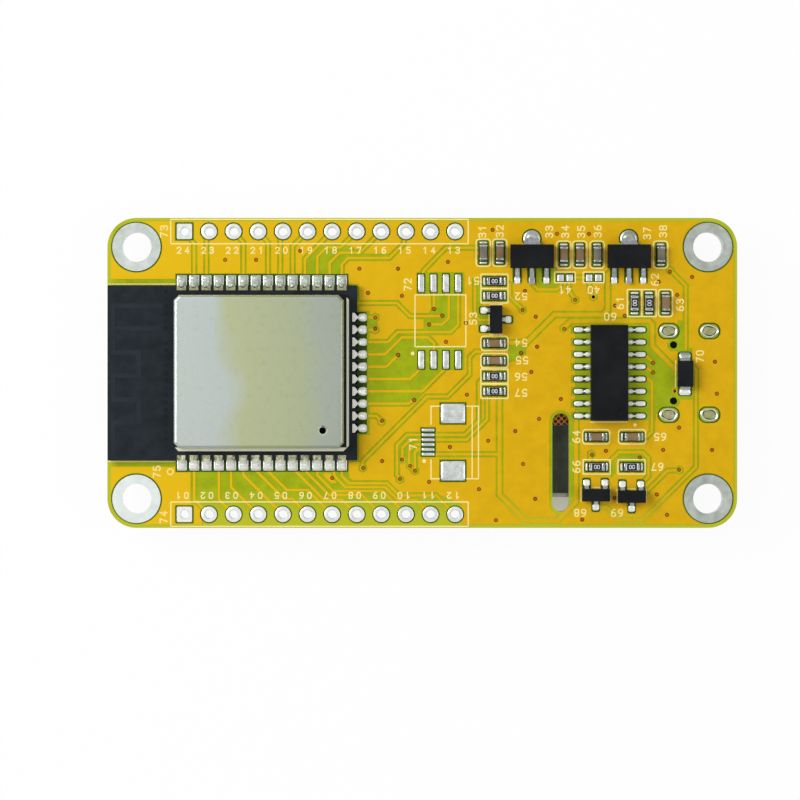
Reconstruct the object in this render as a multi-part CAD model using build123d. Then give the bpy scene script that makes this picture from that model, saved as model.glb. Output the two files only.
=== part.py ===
from build123d import *
from math import cos, hypot, pi, sin
import os

# Development board: a Wi-Fi module, a USB serial chip and two regulators on a yellow circuit
# board, with a colour display and a USB socket on its other side. It lies component side up.
# Origin: centre of the four mounting holes, on the underside of the bare board. +X runs along
# the board towards the USB socket and +Z out of the component side. Lengths are millimetres.

# ------------------------------------------------------------------ driving dimensions
# Bare board. Its length is the module, the routing field beside it and the parts field.
board_width = 32.0
board_thickness = 1.6
board_corner_radius = 3.0
routing_field_length = 13.2
parts_field_length = 26.0

# Mounting holes, plated through and tinned on both faces
mounting_hole_inset = 3.0
mounting_hole_radius = 1.55
mounting_ring_radius = 2.5

# Header rows: two empty rows of plated holes, the first pad of each row square
header_count = 12
header_pitch = 2.54
header_edge_inset = 1.4
header_first_inset = 7.95
header_hole_radius = 0.5
header_pad_radius = 0.82
header_ring_sides = 10
header_hole_sides = 8

# Plating and pads
plating_thickness = 0.06
pad_thickness = 0.05
pad_margin = 0.1

# Slot for a touch film's tail
slot_length = 10.15
slot_width = 1.75
slot_inset = 18.2
slot_centre_y = -9.25

# Copper under the mask: a flooded field, and traces with a bare channel on each side
copper_thickness = 0.035
copper_border = 0.35
trace_width = 0.26
wide_trace_width = 0.42
trace_gap = 0.19
pad_gap = 0.17
slot_border = 0.3
antenna_keepout = 0.68
via_land_radius = 0.32
through_via_radius = 0.2
via_sides = 6
round_sides = 8

# Wi-Fi module: its own board, with castellated edges on three sides
module_length = 25.7
module_width = 18.0
module_thickness = 0.8
module_inset = 0.1
edge_pad_pitch = 1.27
edge_pad_width = 0.95
edge_pad_reach = 1.1
edge_land_length = 0.5
edge_land_thickness = 0.035
edge_hole_radius = 0.3
edge_hole_sides = 6
edge_waist = 0.4
side_pad_count = 14
side_first_inset = 7.6
end_pad_count = 10

# Shield can of the module: folded sheet, open below
can_length = 18.0
can_side_margin = 0.95
can_height = 2.3
can_sheet = 0.2
can_end_margin = 0.85
can_skirt_height = 1.1
can_step = 0.1
can_lower_step = 0.3
can_right_step = 0.5
can_fold_radius = 0.35
can_corner_cut = 0.55
can_vent_radius = 0.38
can_vent_inset_x = 2.65
can_vent_inset_y = 2.13

# Chips under the can
processor_side = 5.0
processor_height = 0.85
processor_offset_x = -1.6
flash_length = 6.0
flash_width = 5.0
flash_height = 0.75
flash_offset_x = 5.2
crystal_length = 3.2
crystal_width = 2.5
crystal_height = 0.8
inner_gap = 1.0
small_chip_length = 1.0
small_chip_width = 0.5
small_chip_height = 0.35
small_chip_count = 6
small_chip_pitch = 1.1

# Moulded chip packages: body length, width and height, lead span, width and thickness
draft_angle = 6.0
lead_bury = 0.25
body_standoff = 0.1
serial_body = (9.9, 3.9, 1.5)
serial_lead = (6.0, 0.42, 0.2)
serial_lead_pitch = 1.27
serial_leads_per_side = 8
serial_inset = 13.25
serial_pad_reach = 3.72
dimple_radius = 0.4
dimple_depth = 0.08

transistor_body = (2.9, 1.3, 1.0)
transistor_lead = (2.5, 0.42, 0.13)
transistor_lead_pitch = 0.95
transistor_pad_length = 1.0

diode_body = (2.7, 1.65, 1.05)
diode_lead = (3.7, 1.0, 0.15)
diode_pad_length = 1.25

regulator_length = 4.5
regulator_width = 2.45
regulator_height = 1.5
regulator_lead_pitch = 1.5
regulator_lead_width = 0.45
regulator_lead_length = 0.95
regulator_lead_thickness = 0.4
regulator_tab_width = 1.75
regulator_tab_length = 0.75
regulator_pad_length = 1.4
regulator_tab_pad_length = 1.7

# Ceramic capacitors and thick-film resistors, all of one size
passive_length = 1.6
passive_width = 0.8
capacitor_height = 0.8
resistor_height = 0.45
resistor_coat_thickness = 0.03
terminal_length = 0.32
terminal_plating = 0.025
passive_pad_length = 0.85
passive_pad_gap = 0.8

# Empty footprints: an eight-lead memory chip, a touch connector and two solder jumpers
memory_pad_length = 1.85
memory_pad_width = 0.6
memory_row_gap = 7.9
memory_pads_per_side = 4
memory_inset = 30.7
memory_centre_y = 5.3
touch_pad_length = 1.31
touch_pad_width = 0.3
touch_pad_pitch = 0.5
touch_pad_count = 6
touch_inset = 31.9
touch_centre_y = -7.15
touch_anchor_length = 2.5
touch_anchor_width = 2.05
touch_anchor_spacing = 5.92
touch_anchor_offset = 2.57
jumper_pad_length = 0.65
jumper_pad_width = 0.75
jumper_gap = 0.95

# USB socket on the other side, its mouth just inside the board's right edge
usb_front_inset = 0.25
usb_length = 7.35
usb_width = 8.94
usb_height = 3.16
usb_sheet = 0.3
usb_tab_spacing_y = 8.64
usb_front_tab_inset = 2.62
usb_tab_spacing_x = 4.2
usb_tab_length = 1.0
usb_tab_proud = 0.1
usb_tab_pad_length = 2.05
usb_tab_pad_width = 1.5
usb_tab_pad_sides = 12
usb_peg_radius = 0.35
usb_peg_spacing = 5.78
usb_peg_offset = 0.5
usb_back_block = 1.9
usb_tongue_thickness = 0.7
usb_tongue_width = 6.7
usb_tongue_setback = 0.75
usb_contact_count = 16
usb_contact_pitch = 0.4
usb_contact_width = 0.2
usb_contact_thickness = 0.12
usb_contact_tail = 0.9
fit_clearance = 0.05

# Display on the other side, held by foam tape
display_hole_gap = 1.3
display_header_gap = 0.88
display_usb_gap = 0.9
foam_thickness = 0.8
tray_thickness = 0.85
tray_wall = 0.45
tray_floor = 0.3
glass_thickness = 0.6
glass_margin = 0.15
glass_ledge_length = 2.4
cover_glass_thickness = 0.3
flex_width = 10.8
flex_thickness = 0.12
flex_tail_length = 12.5
flex_fold_gap = 0.12

# ------------------------------------------------------------------ levels and edges
board_top = board_thickness
seat = board_top + pad_thickness
board_length = module_inset + module_length + routing_field_length + parts_field_length
left_edge = -board_length / 2
right_edge = board_length / 2
header_y = board_width / 2 - header_edge_inset
header_first_x = left_edge + header_first_inset
module_left = left_edge + module_inset
module_right = module_left + module_length
module_top = seat + module_thickness
can_width = module_width - 2 * can_side_margin
can_centre_x = module_right - can_end_margin - can_length / 2
usb_front = right_edge - usb_front_inset
usb_rear = usb_front - usb_length
usb_front_tab_x = usb_front - usb_front_tab_inset
usb_rear_tab_x = usb_front_tab_x - usb_tab_spacing_x
usb_peg_x = usb_rear_tab_x + usb_peg_offset
display_right = usb_rear - display_usb_gap
display_left = left_edge + mounting_hole_inset + mounting_ring_radius + display_hole_gap
display_length = display_right - display_left
display_centre_x = (display_right + display_left) / 2
display_width = 2 * (header_y - header_pad_radius - display_header_gap)
foam_width = display_width / 2 - tray_wall - flex_width / 2 - fit_clearance
serial_x = right_edge - serial_inset
tray_back = -foam_thickness
glass_back = tray_back - tray_thickness

# Parts: distance in from the right edge, height above the middle line, and turn about Z
capacitor_places = {
    "capacitor_1": (14.45, 12.2, 90),
    "capacitor_2": (7.9, 12.2, 90),
    "capacitor_3": (16.25, 12.2, 90),
    "capacitor_4": (17.9, 12.2, 90),
    "capacitor_5": (26.2, 12.4, 90),
    "capacitor_6": (24.5, 12.4, 90),
    "capacitor_7": (7.4, 7.2, 90),
    "capacitor_8": (25.05, 3.05, 0),
    "capacitor_9": (14.55, -6.6, 0),
    "capacitor_10": (10.85, -6.6, 0),
    "capacitor_11": (25.05, 1.25, 0),
}
resistor_places = {
    "resistor_1": (25.05, 9.45, 0),
    "resistor_2": (25.05, -1.9, 0),
    "resistor_3": (25.05, -0.35, 0),
    "resistor_4": (25.05, 7.95, 0),
    "resistor_5": (9.1, 7.2, 90),
    "resistor_6": (10.6, 7.2, 90),
    "resistor_7": (10.9, -9.7, 0),
    "resistor_8": (14.5, -9.7, 0),
}
regulator_places = {"voltage_regulator_1": (11.2, 12.0, 0), "voltage_regulator_2": (21.2, 12.0, 0)}
transistor_places = {
    "transistor_1": (24.9, 5.5, 0),
    "transistor_2": (14.6, -12.6, -90),
    "transistor_3": (10.9, -12.75, -90),
}
diode_place = (5.4, -0.1, 90)
jumper_places = [(17.75, 9.8, 0), (14.8, 9.8, 0)]


def place(inset, y, turn, z=0.0):
    """Location of a part that is set out from the board's right edge."""
    return Pos(right_edge - inset, y, z) * Rot(0, 0, turn)


def evenly(count, pitch):
    """Offsets of a row of equal steps about its own middle."""
    return [(i - (count - 1) / 2) * pitch for i in range(count)]


def round_outline(radius, sides=round_sides, stretch=0.0):
    """Many-sided disc, its two halves drawn apart along X by the stretch."""
    corners = []
    for i in range(sides):
        angle = 2 * pi * (i + 0.5) / sides
        shift = stretch / 2 if cos(angle) > 0 else -stretch / 2
        corners.append((radius * cos(angle) + shift, radius * sin(angle)))
    return make_face(Polyline(*corners, close=True))


# ------------------------------------------------------------------ footprints on the board
def passive_footprint():
    """Two pads under the ends of a capacitor or resistor: x, y, length, width."""
    offset = (passive_pad_gap + passive_pad_length) / 2
    width = passive_width + pad_margin
    return [(side * offset, 0, passive_pad_length, width) for side in (-1, 1)]


def serial_footprint():
    """Sixteen pads of the serial chip, whose lead rows run along Y."""
    inner = serial_body[1] / 2 - pad_margin
    length = serial_pad_reach - inner
    offset = (serial_pad_reach + inner) / 2
    width = serial_lead[1] + pad_margin
    rows = evenly(serial_leads_per_side, serial_lead_pitch)
    return [(side * offset, y, length, width) for side in (-1, 1) for y in rows]


def transistor_footprint():
    """Two pads on the left and one on the right, for a body that stands along Y."""
    offset = transistor_lead[0] / 2 - pad_margin
    width = transistor_lead[1] + 2 * pad_margin
    left = [(-offset, y, transistor_pad_length, width) for y in
            (-transistor_lead_pitch, transistor_lead_pitch)]
    return left + [(offset, 0, transistor_pad_length, width)]


def diode_footprint():
    """A wide pad under each flat lead."""
    offset = diode_lead[0] / 2
    width = diode_lead[1] + 2 * pad_margin
    return [(side * offset, 0, diode_pad_length, width) for side in (-1, 1)]


def regulator_footprint():
    """Three lead pads below the body and the tab's pad above it."""
    lead_y = -(regulator_width + regulator_pad_length) / 2
    tab_y = (regulator_width + regulator_tab_pad_length) / 2 - pad_margin
    width = regulator_lead_width + 2 * pad_margin
    leads = [(x, lead_y, width, regulator_pad_length) for x in evenly(3, regulator_lead_pitch)]
    return leads + [(0, tab_y, regulator_tab_width + pad_margin, regulator_tab_pad_length)]


def memory_footprint():
    """Empty eight-lead footprint, its rows along X."""
    rows = evenly(memory_pads_per_side, edge_pad_pitch)
    return [(x, side * memory_row_gap / 2, memory_pad_width, memory_pad_length)
            for side in (-1, 1) for x in rows]


def touch_footprint():
    """Empty connector footprint: six fine pads and two anchors."""
    fine = [(0, y, touch_pad_length, touch_pad_width)
            for y in evenly(touch_pad_count, touch_pad_pitch)]
    anchors = [(touch_anchor_offset, side * touch_anchor_spacing / 2, touch_anchor_length,
                touch_anchor_width) for side in (-1, 1)]
    return fine + anchors


def jumper_footprint():
    """Two square pads to be bridged with solder."""
    return [(side * jumper_gap / 2, 0, jumper_pad_length, jumper_pad_width) for side in (-1, 1)]


def module_edge_places():
    """Each castellation of the module: a location whose +X points out of the module's edge."""
    places = []
    first_x = module_left + side_first_inset
    for i in range(side_pad_count):
        x = first_x + i * edge_pad_pitch
        places.append(Pos(x, module_width / 2, 0) * Rot(0, 0, 90))
        places.append(Pos(x, -module_width / 2, 0) * Rot(0, 0, -90))
    for y in evenly(end_pad_count, edge_pad_pitch):
        places.append(Pos(module_right, y, 0))
    return places


def all_footprints():
    """Every surface pad: the location of its footprint and the pads in it."""
    found = [(place(*where), passive_footprint())
             for where in (*capacitor_places.values(), *resistor_places.values())]
    found += [(place(*where), regulator_footprint()) for where in regulator_places.values()]
    found += [(place(*where), transistor_footprint()) for where in transistor_places.values()]
    found += [(place(*where), jumper_footprint()) for where in jumper_places]
    found.append((place(*diode_place), diode_footprint()))
    found.append((place(serial_inset, 0, 0), serial_footprint()))
    found.append((place(memory_inset, memory_centre_y, 0), memory_footprint()))
    found.append((place(touch_inset, touch_centre_y, 0), touch_footprint()))
    inner = edge_land_length
    pad = ((edge_pad_reach - inner) / 2, 0, edge_pad_reach + inner, edge_pad_width + pad_margin)
    found += [(where, [pad]) for where in module_edge_places()]
    return found


def surface_pads():
    """Tinned pads of the component side, as thin plates on the bare board."""
    pads = []
    for where, footprint in all_footprints():
        for x, y, length, width in footprint:
            plate = Pos(x, y, board_top + pad_thickness / 2) * Box(length, width, pad_thickness)
            pads.append(where * plate)
    return pads


# ------------------------------------------------------------------ bare board and plating
def mounting_centres():
    """Centres of the four corner holes."""
    x = board_length / 2 - mounting_hole_inset
    y = board_width / 2 - mounting_hole_inset
    return [(x, y), (-x, y), (-x, -y), (x, -y)]


def header_centres(side):
    """Centres of one header row; side is 1 for the upper row and -1 for the lower."""
    return [(header_first_x + i * header_pitch, side * header_y) for i in range(header_count)]


def eyelet(ring, barrel, bore):
    """Plated hole: a barrel through the board with a flat ring on each face."""
    rings = [extrude(Pos(0, 0, z) * (ring - bore), pad_thickness)
             for z in (board_top, -pad_thickness)]
    return extrude(barrel - bore, board_thickness) + rings


def header_barrel():
    """Outline of a header hole's plated wall, which is the hole drilled in the board."""
    return round_outline(header_hole_radius + plating_thickness, header_hole_sides)


def header_plating():
    """The eyelets of both rows; the first of each row has a square ring."""
    bore = round_outline(header_hole_radius, header_hole_sides)
    ring = round_outline(header_pad_radius, header_ring_sides)
    square = Rectangle(2 * header_pad_radius, 2 * header_pad_radius)
    round_eyelet = eyelet(ring, header_barrel(), bore)
    square_eyelet = eyelet(square, header_barrel(), bore)
    pieces = []
    for side in (1, -1):
        for i, (x, y) in enumerate(header_centres(side)):
            pieces.append(Pos(x, y) * (round_eyelet if i else square_eyelet))
    return pieces


def mounting_plating():
    """The tinned eyelets of the four corner holes."""
    one = eyelet(Circle(mounting_ring_radius),
                 Circle(mounting_hole_radius + plating_thickness), Circle(mounting_hole_radius))
    return [Pos(x, y) * one for x, y in mounting_centres()]


def usb_tab_places():
    """Centres of the socket's four shell tabs, longer along X."""
    half = usb_tab_spacing_y / 2
    return [(x, y) for x in (usb_rear_tab_x, usb_front_tab_x) for y in (-half, half)]


def usb_slot_outline():
    """Slot in the board around one shell tab."""
    return Rectangle(usb_tab_length + 2 * fit_clearance, usb_sheet + 2 * fit_clearance)


def usb_tab_pads():
    """Oval tinned pads round the socket's tabs, on both faces of the board."""
    stretch = usb_tab_pad_length - usb_tab_pad_width
    oval = round_outline(usb_tab_pad_width / 2, usb_tab_pad_sides, stretch) - usb_slot_outline()
    return [Pos(x, y, z) * extrude(oval, pad_thickness)
            for x, y in usb_tab_places() for z in (board_top, -pad_thickness)]


def circuit_board():
    """Glass-fibre board with its round corners, drilled holes and slots."""
    outline = RectangleRounded(board_length, board_width, board_corner_radius)
    holes = [Pos(x, y) * Circle(mounting_hole_radius + plating_thickness)
             for x, y in mounting_centres()]
    holes += [Pos(x, y) * header_barrel() for side in (1, -1) for x, y in header_centres(side)]
    holes += [Pos(x, y) * usb_slot_outline() for x, y in usb_tab_places()]
    holes += [Pos(usb_peg_x, y) * round_outline(usb_peg_radius + fit_clearance)
              for y in evenly(2, usb_peg_spacing)]
    holes += [Pos(x, y) * round_outline(through_via_radius, via_sides) for x, y in through_vias()]
    holes.append(place(slot_inset, slot_centre_y, 90) * SlotOverall(slot_length, slot_width))
    return extrude(outline - holes, board_thickness)


# ------------------------------------------------------------------ copper of the component side
def path(start, *steps, end=None):
    """Corners of a route: its start, each step from the corner before, and its end if named."""
    corners = [start]
    for dx, dy in steps:
        x, y = corners[-1]
        corners.append((x + dx, y + dy))
    return corners + [end] if end else corners


def ribbon(corners, width):
    """Flat strip of even width along a route, mitred at its corners."""
    ways = []
    for (x0, y0), (x1, y1) in zip(corners, corners[1:]):
        run = hypot(x1 - x0, y1 - y0)
        ways.append(((x1 - x0) / run, (y1 - y0) / run))
    left, right = [], []
    for i, (x, y) in enumerate(corners):
        (ax, ay), (bx, by) = ways[max(i - 1, 0)], ways[min(i, len(ways) - 1)]
        reach = width / 2 / (1 + ax * bx + ay * by)
        left.append((x - (ay + by) * reach, y + (ax + bx) * reach))
        right.append((x + (ay + by) * reach, y - (ax + bx) * reach))
    return make_face(Polyline(*left, *reversed(right), close=True))


def from_right(inset, y):
    """A point set out from the board's right edge."""
    return (right_edge - inset, y)


def side_pad(i, side):
    """Pad i from the left along the module's upper (1) or lower (-1) edge."""
    return (module_left + side_first_inset + i * edge_pad_pitch,
            side * (module_width + edge_pad_reach) / 2)


def end_pad(i):
    """Pad i from the top along the module's right edge."""
    return (module_right + edge_pad_reach / 2, -evenly(end_pad_count, edge_pad_pitch)[i])


def header(i, side):
    """Header hole i from the left in the upper (1) or lower (-1) row."""
    return header_centres(side)[i]


def memory_pad(i, side):
    """Pad i from the left in the memory footprint's upper (1) or lower (-1) row."""
    x = right_edge - memory_inset + evenly(memory_pads_per_side, edge_pad_pitch)[i]
    return (x, memory_centre_y + side * memory_row_gap / 2)


def touch_pad(i):
    """Fine pad i from the top of the touch connector's footprint."""
    return (right_edge - touch_inset, touch_centre_y - evenly(touch_pad_count, touch_pad_pitch)[i])


def through_vias():
    """Two small holes that show open right through the board."""
    return [from_right(14.84, 7.84), from_right(6.45, -1.88)]


def routes():
    """Traces of ordinary width, each as its corner points."""
    up, down = 1, -1
    found = [
        path(side_pad(1, up), (0, 3.8), end=header(0, up)),
        path(side_pad(2, up), (0, 4.2), end=header(1, up)),
        path(side_pad(5, up), (0, 3.9), end=header(2, up)),
        path(side_pad(7, up), (0, 3.9), end=header(3, up)),
        path(side_pad(8, up), (0, 4.2), end=header(4, up)),
        path(side_pad(9, up), (0, 3.5), end=header(5, up)),
        path(side_pad(10, up), (0, 2.2), end=header(6, up)),
        path(side_pad(11, up), (0, 2.45), (0.95, 0.95), (1.46, 0), end=header(7, up)),
        path(side_pad(12, up), (0, 1.8), (1.05, 1.05), (2.08, 0), end=header(8, up)),
        path(side_pad(13, up), (0, 1.65), (0.65, 0.65), (4.25, 0), (1.45, 1.45), end=header(9, up)),
        path(side_pad(1, down), (0, -3.5), end=header(1, down)),
        path(side_pad(3, down), (0, -3.5), end=header(2, down)),
        path(side_pad(4, down), (0, -2.25), end=header(3, down)),
        path(side_pad(5, down), (0, -1.0), end=header(4, down)),
        path(side_pad(6, down), (0, -0.5), (2.93, -2.95), (0.85, 0), end=header(5, down)),
        path(side_pad(7, down), (0, -0.6), (1.95, -1.95), (2.1, 0), end=header(6, down)),
        path(side_pad(9, down), (0.3, -0.6), (2.95, -2.95), (1.85, 0), end=header(7, down)),
        path(side_pad(10, down), (0.15, -0.7), (2.35, -2.35), (3.4, 0), end=header(8, down)),
        path(side_pad(11, down), (0, -1.0), (1.65, -1.65), (5.1, 0), end=header(9, down)),
        path(side_pad(12, down), (0.4, -0.5), (0.15, -0.65), (1.1, -1.1), (4.1, 0), (1.3, -1.3),
             (1.86, 0), end=header(10, down)),
        path(side_pad(13, down), (0, -1.1), (0.75, -0.75), (3.9, 0), (1.25, -1.25), (3.84, 0),
             end=header(11, down)),
    ]
    found += [
        path((module_right - 0.5, 7.2), (4.6, 0), (1.35, -1.35), (3.3, 0)),
        path(memory_pad(1, up), (0.08, -2.65)),
        path(memory_pad(2, up), (0.05, -1.0), (0.25, -0.25), (0, -2.35), (-0.65, -0.65), (-1.4, 0)),
        path(memory_pad(3, up), (0, -4.3), (-0.75, -0.75), (-5.5, 0), (-0.98, -1.02),
             end=end_pad(2)),
        path(end_pad(0), (1.3, 0)),
        path(end_pad(1), (1.3, 0)),
        path(end_pad(3), (2.3, 0), (1.75, 1.75), (2.7, 0), (0.62, -0.62), end=memory_pad(1, down)),
        path(end_pad(4), (2.45, 0), (1.25, 1.25)),
        path(end_pad(5), (4.9, 0), (1.15, 1.15), end=memory_pad(0, down)),
        path(end_pad(6), (6.15, 0), (2.25, 2.25), end=memory_pad(2, down)),
        path(end_pad(7), (4.7, 0), (0.6, 0.4)),
        path(end_pad(8), (1.4, 0), (0.6, -0.55)),
        path(touch_pad(1), (-2.15, 0), (-1.05, -1.05), (0, -3.1), (0.3, -0.45)),
        path(touch_pad(2), (-1.8, 0), (-0.85, -0.85), (0, -1.15)),
        path(touch_pad(3), (-1.3, 0), (-0.65, -0.65), (0, -1.55)),
        path(touch_pad(4), (-1.05, 0), (-0.3, -0.3), (0, -1.9)),
        path(touch_pad(1), (3.8, 0), (1.45, 1.45), (0, 3.95), (0.5, 0.5)),
        path(touch_pad(2), (4.0, 0), (2.1, 2.1), (0, 2.4)),
        path(touch_pad(5), (7.2, 0)),
        path(memory_pad(0, up), (0.25, 1.3), (2.3, 2.35), (3.9, 0)),
        path(from_right(38.65, -9.8), (0, 0.7), (6.65, 6.65), (2.15, 0), (2.25, 2.25), (0, 1.8),
             (0.6, 0.6), (1.3, 0)),
        path(from_right(25.9, 9.45), (-1.15, 0), (0, -3.55), (0.45, -0.45), (1.2, 0)),
        path(from_right(24.2, 9.45), (0.75, -0.3), (0, -1.3), (1.3, -1.3)),
        path(from_right(21.1, 9.6), (0, -0.45), (0.55, -0.55), (1.95, 0), (0.4, 0.4), (0, 0.7)),
        path(from_right(17.25, 9.7), (-0.15, -1.1), (0.67, -1.05)),
        path(from_right(17.25, 9.85), (2.0, 0)),
        path(from_right(15.3, 9.7), (0.1, -1.1), (0.36, -0.75)),
        path(from_right(6.95, 10.65), (1.65, -1.65), (0, -7.0)),
        path(from_right(9.6, -0.64), (0.45, 0), (0.35, -0.35), (0, -5.1), (-0.5, -0.5), (-0.9, 0)),
        path(from_right(9.6, 1.9), (0.9, -0.8)),
        path(from_right(9.6, 0.64), (0.95, -0.6)),
        path(from_right(13.6, -9.6), (0.6, 0.6), (0.8, 0.8), (2.45, 0), (0.6, -0.6), (0, -1.9),
             (-0.5, -0.5)),
        path(from_right(15.05, -8.4), (-0.25, -0.9)),
        path(from_right(9.6, -12.5), (2.4, 2.4), (1.2, 0.05)),
        path(from_right(14.3, -13.85), (0.85, 0), (1.35, -1.35), (2.35, 0), (5.5, 5.5), (0, 10.0),
             (-0.4, 0.4)),
    ]
    return found


def wide_routes():
    """Supply traces, wider than the rest."""
    return [
        path(from_right(24.1, 3.1), (2.35, 0), (2.9, 2.9), (5.0, 0), (0.5, 0.5), (0, 3.6),
             (0.4, 0.4)),
        path(from_right(17.9, 4.6), (0.75, 0.75), (8.05, 0), (0.35, -0.35), (0, -2.25),
             (2.45, -2.45)),
        path(from_right(24.52, -1.9), (0, -10.65), (2.75, -2.75), (3.2, 0), (1.95, 1.95), (0, 9.0),
             (0.3, 0.3)),
    ]


def via_lands():
    """Vias that stand clear of the flooded copper."""
    from_module = [(1.85, 5.72), (1.85, 4.45), (2.5, -5.05), (0.55, -9.8)]
    from_touch = [(-2.9, -11.0), (-2.65, -8.95), (-1.85, -9.6), (-1.35, -10.1)]
    near_edge = [(22.15, 6.5), (16.73, 7.55), (17.9, 4.6), (15.05, -8.4), (5.95, -10.05),
                 (6.95, 10.6)]
    found = [(module_right + x, y) for x, y in from_module]
    found += [(right_edge - touch_inset + x, y) for x, y in from_touch]
    return found + [from_right(*spot) for spot in near_edge] + through_vias()


def bare_fields():
    """Corner points of the larger fields that carry traces but no flooded copper."""
    fan_left, fan_right = header(0, -1)[0] + 0.65, header(11, -1)[0] + 0.7
    pads_end = side_pad(13, -1)[0] + 0.65
    band = (module_width / 2 + edge_pad_reach, header_y - 1.15, board_width / 2)
    r = module_right
    m = right_edge - memory_inset
    return [
        [(fan_left, -band[0]), (pads_end, -band[0]), (pads_end + 0.1, -band[0] - 0.65),
         (pads_end + 0.65, -band[0] - 1.15), (r + 3.05, -band[0] - 1.15), (r + 4.4, -band[0] - 2.45),
         (r + 8.35, -band[0] - 2.45), (fan_right, -band[1] - 0.1), (fan_right, -band[2]),
         (fan_left + 1.2, -band[2]), (fan_left + 1.2, -band[1] - 0.4), (fan_left, -band[1])],
        [(-12.1, band[0]), (-12.1, 11.75), (-10.75, 13.1), (-7.3, 13.1), (-6.4, 12.3),
         (-3.4, 12.3), (-3.4, 11.85), (-7.6, 11.85), (-8.3, 11.2), (-8.3, band[0])],
        [(r, 3.15), (r + 3.2, 3.15), (r + 4.25, 4.2), (r + 7.3, 4.2), (m - 0.05, 2.9),
         (m - 0.05, 2.65), (m + 2.55, 2.65), (m + 2.55, 0.28), (m + 0.75, 0.28), (m - 1.8, -2.3),
         (m - 2.4, -2.95), (r + 5.3, -3.5), (r, -3.5)],
        [(m - 2.4, 8.1), (m + 2.55, 8.1), (m + 2.55, 10.4), (m - 2.4, 10.4)],
        [(m - 0.85, 8.2), (m + 1.7, 8.2), (m + 1.7, 5.0), (m + 1.1, 4.4), (m - 1.65, 4.4),
         (m - 1.65, 5.5), (m - 1.05, 5.6), (m - 1.05, 6.3), (m - 0.85, 6.7)],
        [(r, 6.3), (r + 1.15, 6.3), (r + 1.15, 5.9), (r + 2.1, 5.9), (r + 2.1, 4.2),
         (r + 1.15, 4.2), (r + 1.15, -6.4), (r, -6.4)],
        [(-2.1, -7.9), (-1.1, -6.9), (0.0, -6.9), (0.0, -5.65), (1.3, -5.65), (1.3, -8.6),
         (-0.7, -8.6), (-0.7, -9.9), (-1.9, -8.8)],
        [from_right(26.8, 9.1), from_right(26.3, 9.1), from_right(26.3, 6.1),
         from_right(25.3, 6.1), from_right(25.3, 4.9), from_right(26.6, 4.9),
         from_right(26.8, 6.0)],
        [from_right(23.6, 2.85), from_right(21.7, 2.85), from_right(21.8, 1.95),
         from_right(22.9, 1.2), from_right(23.6, 1.1)],
        [from_right(20.65, 10.9), from_right(20.65, 9.3), from_right(20.3, 8.95),
         from_right(18.6, 8.95), from_right(18.6, 10.9)],
        [from_right(11.4, 5.1), from_right(8.5, 5.1), from_right(8.5, 2.75),
         from_right(6.2, 0.45), from_right(6.1, -3.3), from_right(7.9, -3.7),
         from_right(8.4, -4.3), from_right(8.4, -4.9), from_right(11.4, -4.9)],
        [from_right(16.7, 4.9), from_right(15.1, 4.9), from_right(15.1, -4.9),
         from_right(16.7, -4.9)],
        [from_right(12.5, -9.2), from_right(12.1, -8.45), from_right(10.1, -8.45),
         from_right(9.4, -9.0), from_right(9.4, -9.2)],
        [from_right(13.05, -9.2), from_right(12.55, -9.2), from_right(12.55, -10.4),
         from_right(13.05, -10.9)],
        [from_right(6.1, 5.4), from_right(5.6, 5.4), from_right(5.6, 2.0), from_right(6.4, 2.3)],
    ]


def flood_islands():
    """Small flooded patches inside the bare fields."""
    x = side_pad(12, -1)[0]
    y = -(module_width / 2 + edge_pad_reach)
    return [[(x - 0.6, y - 0.2), (x + 0.5, y - 0.2), (x + 0.9, y - 1.3), (x + 0.2, y - 1.3),
             (x - 0.6, y - 0.55)]]


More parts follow.
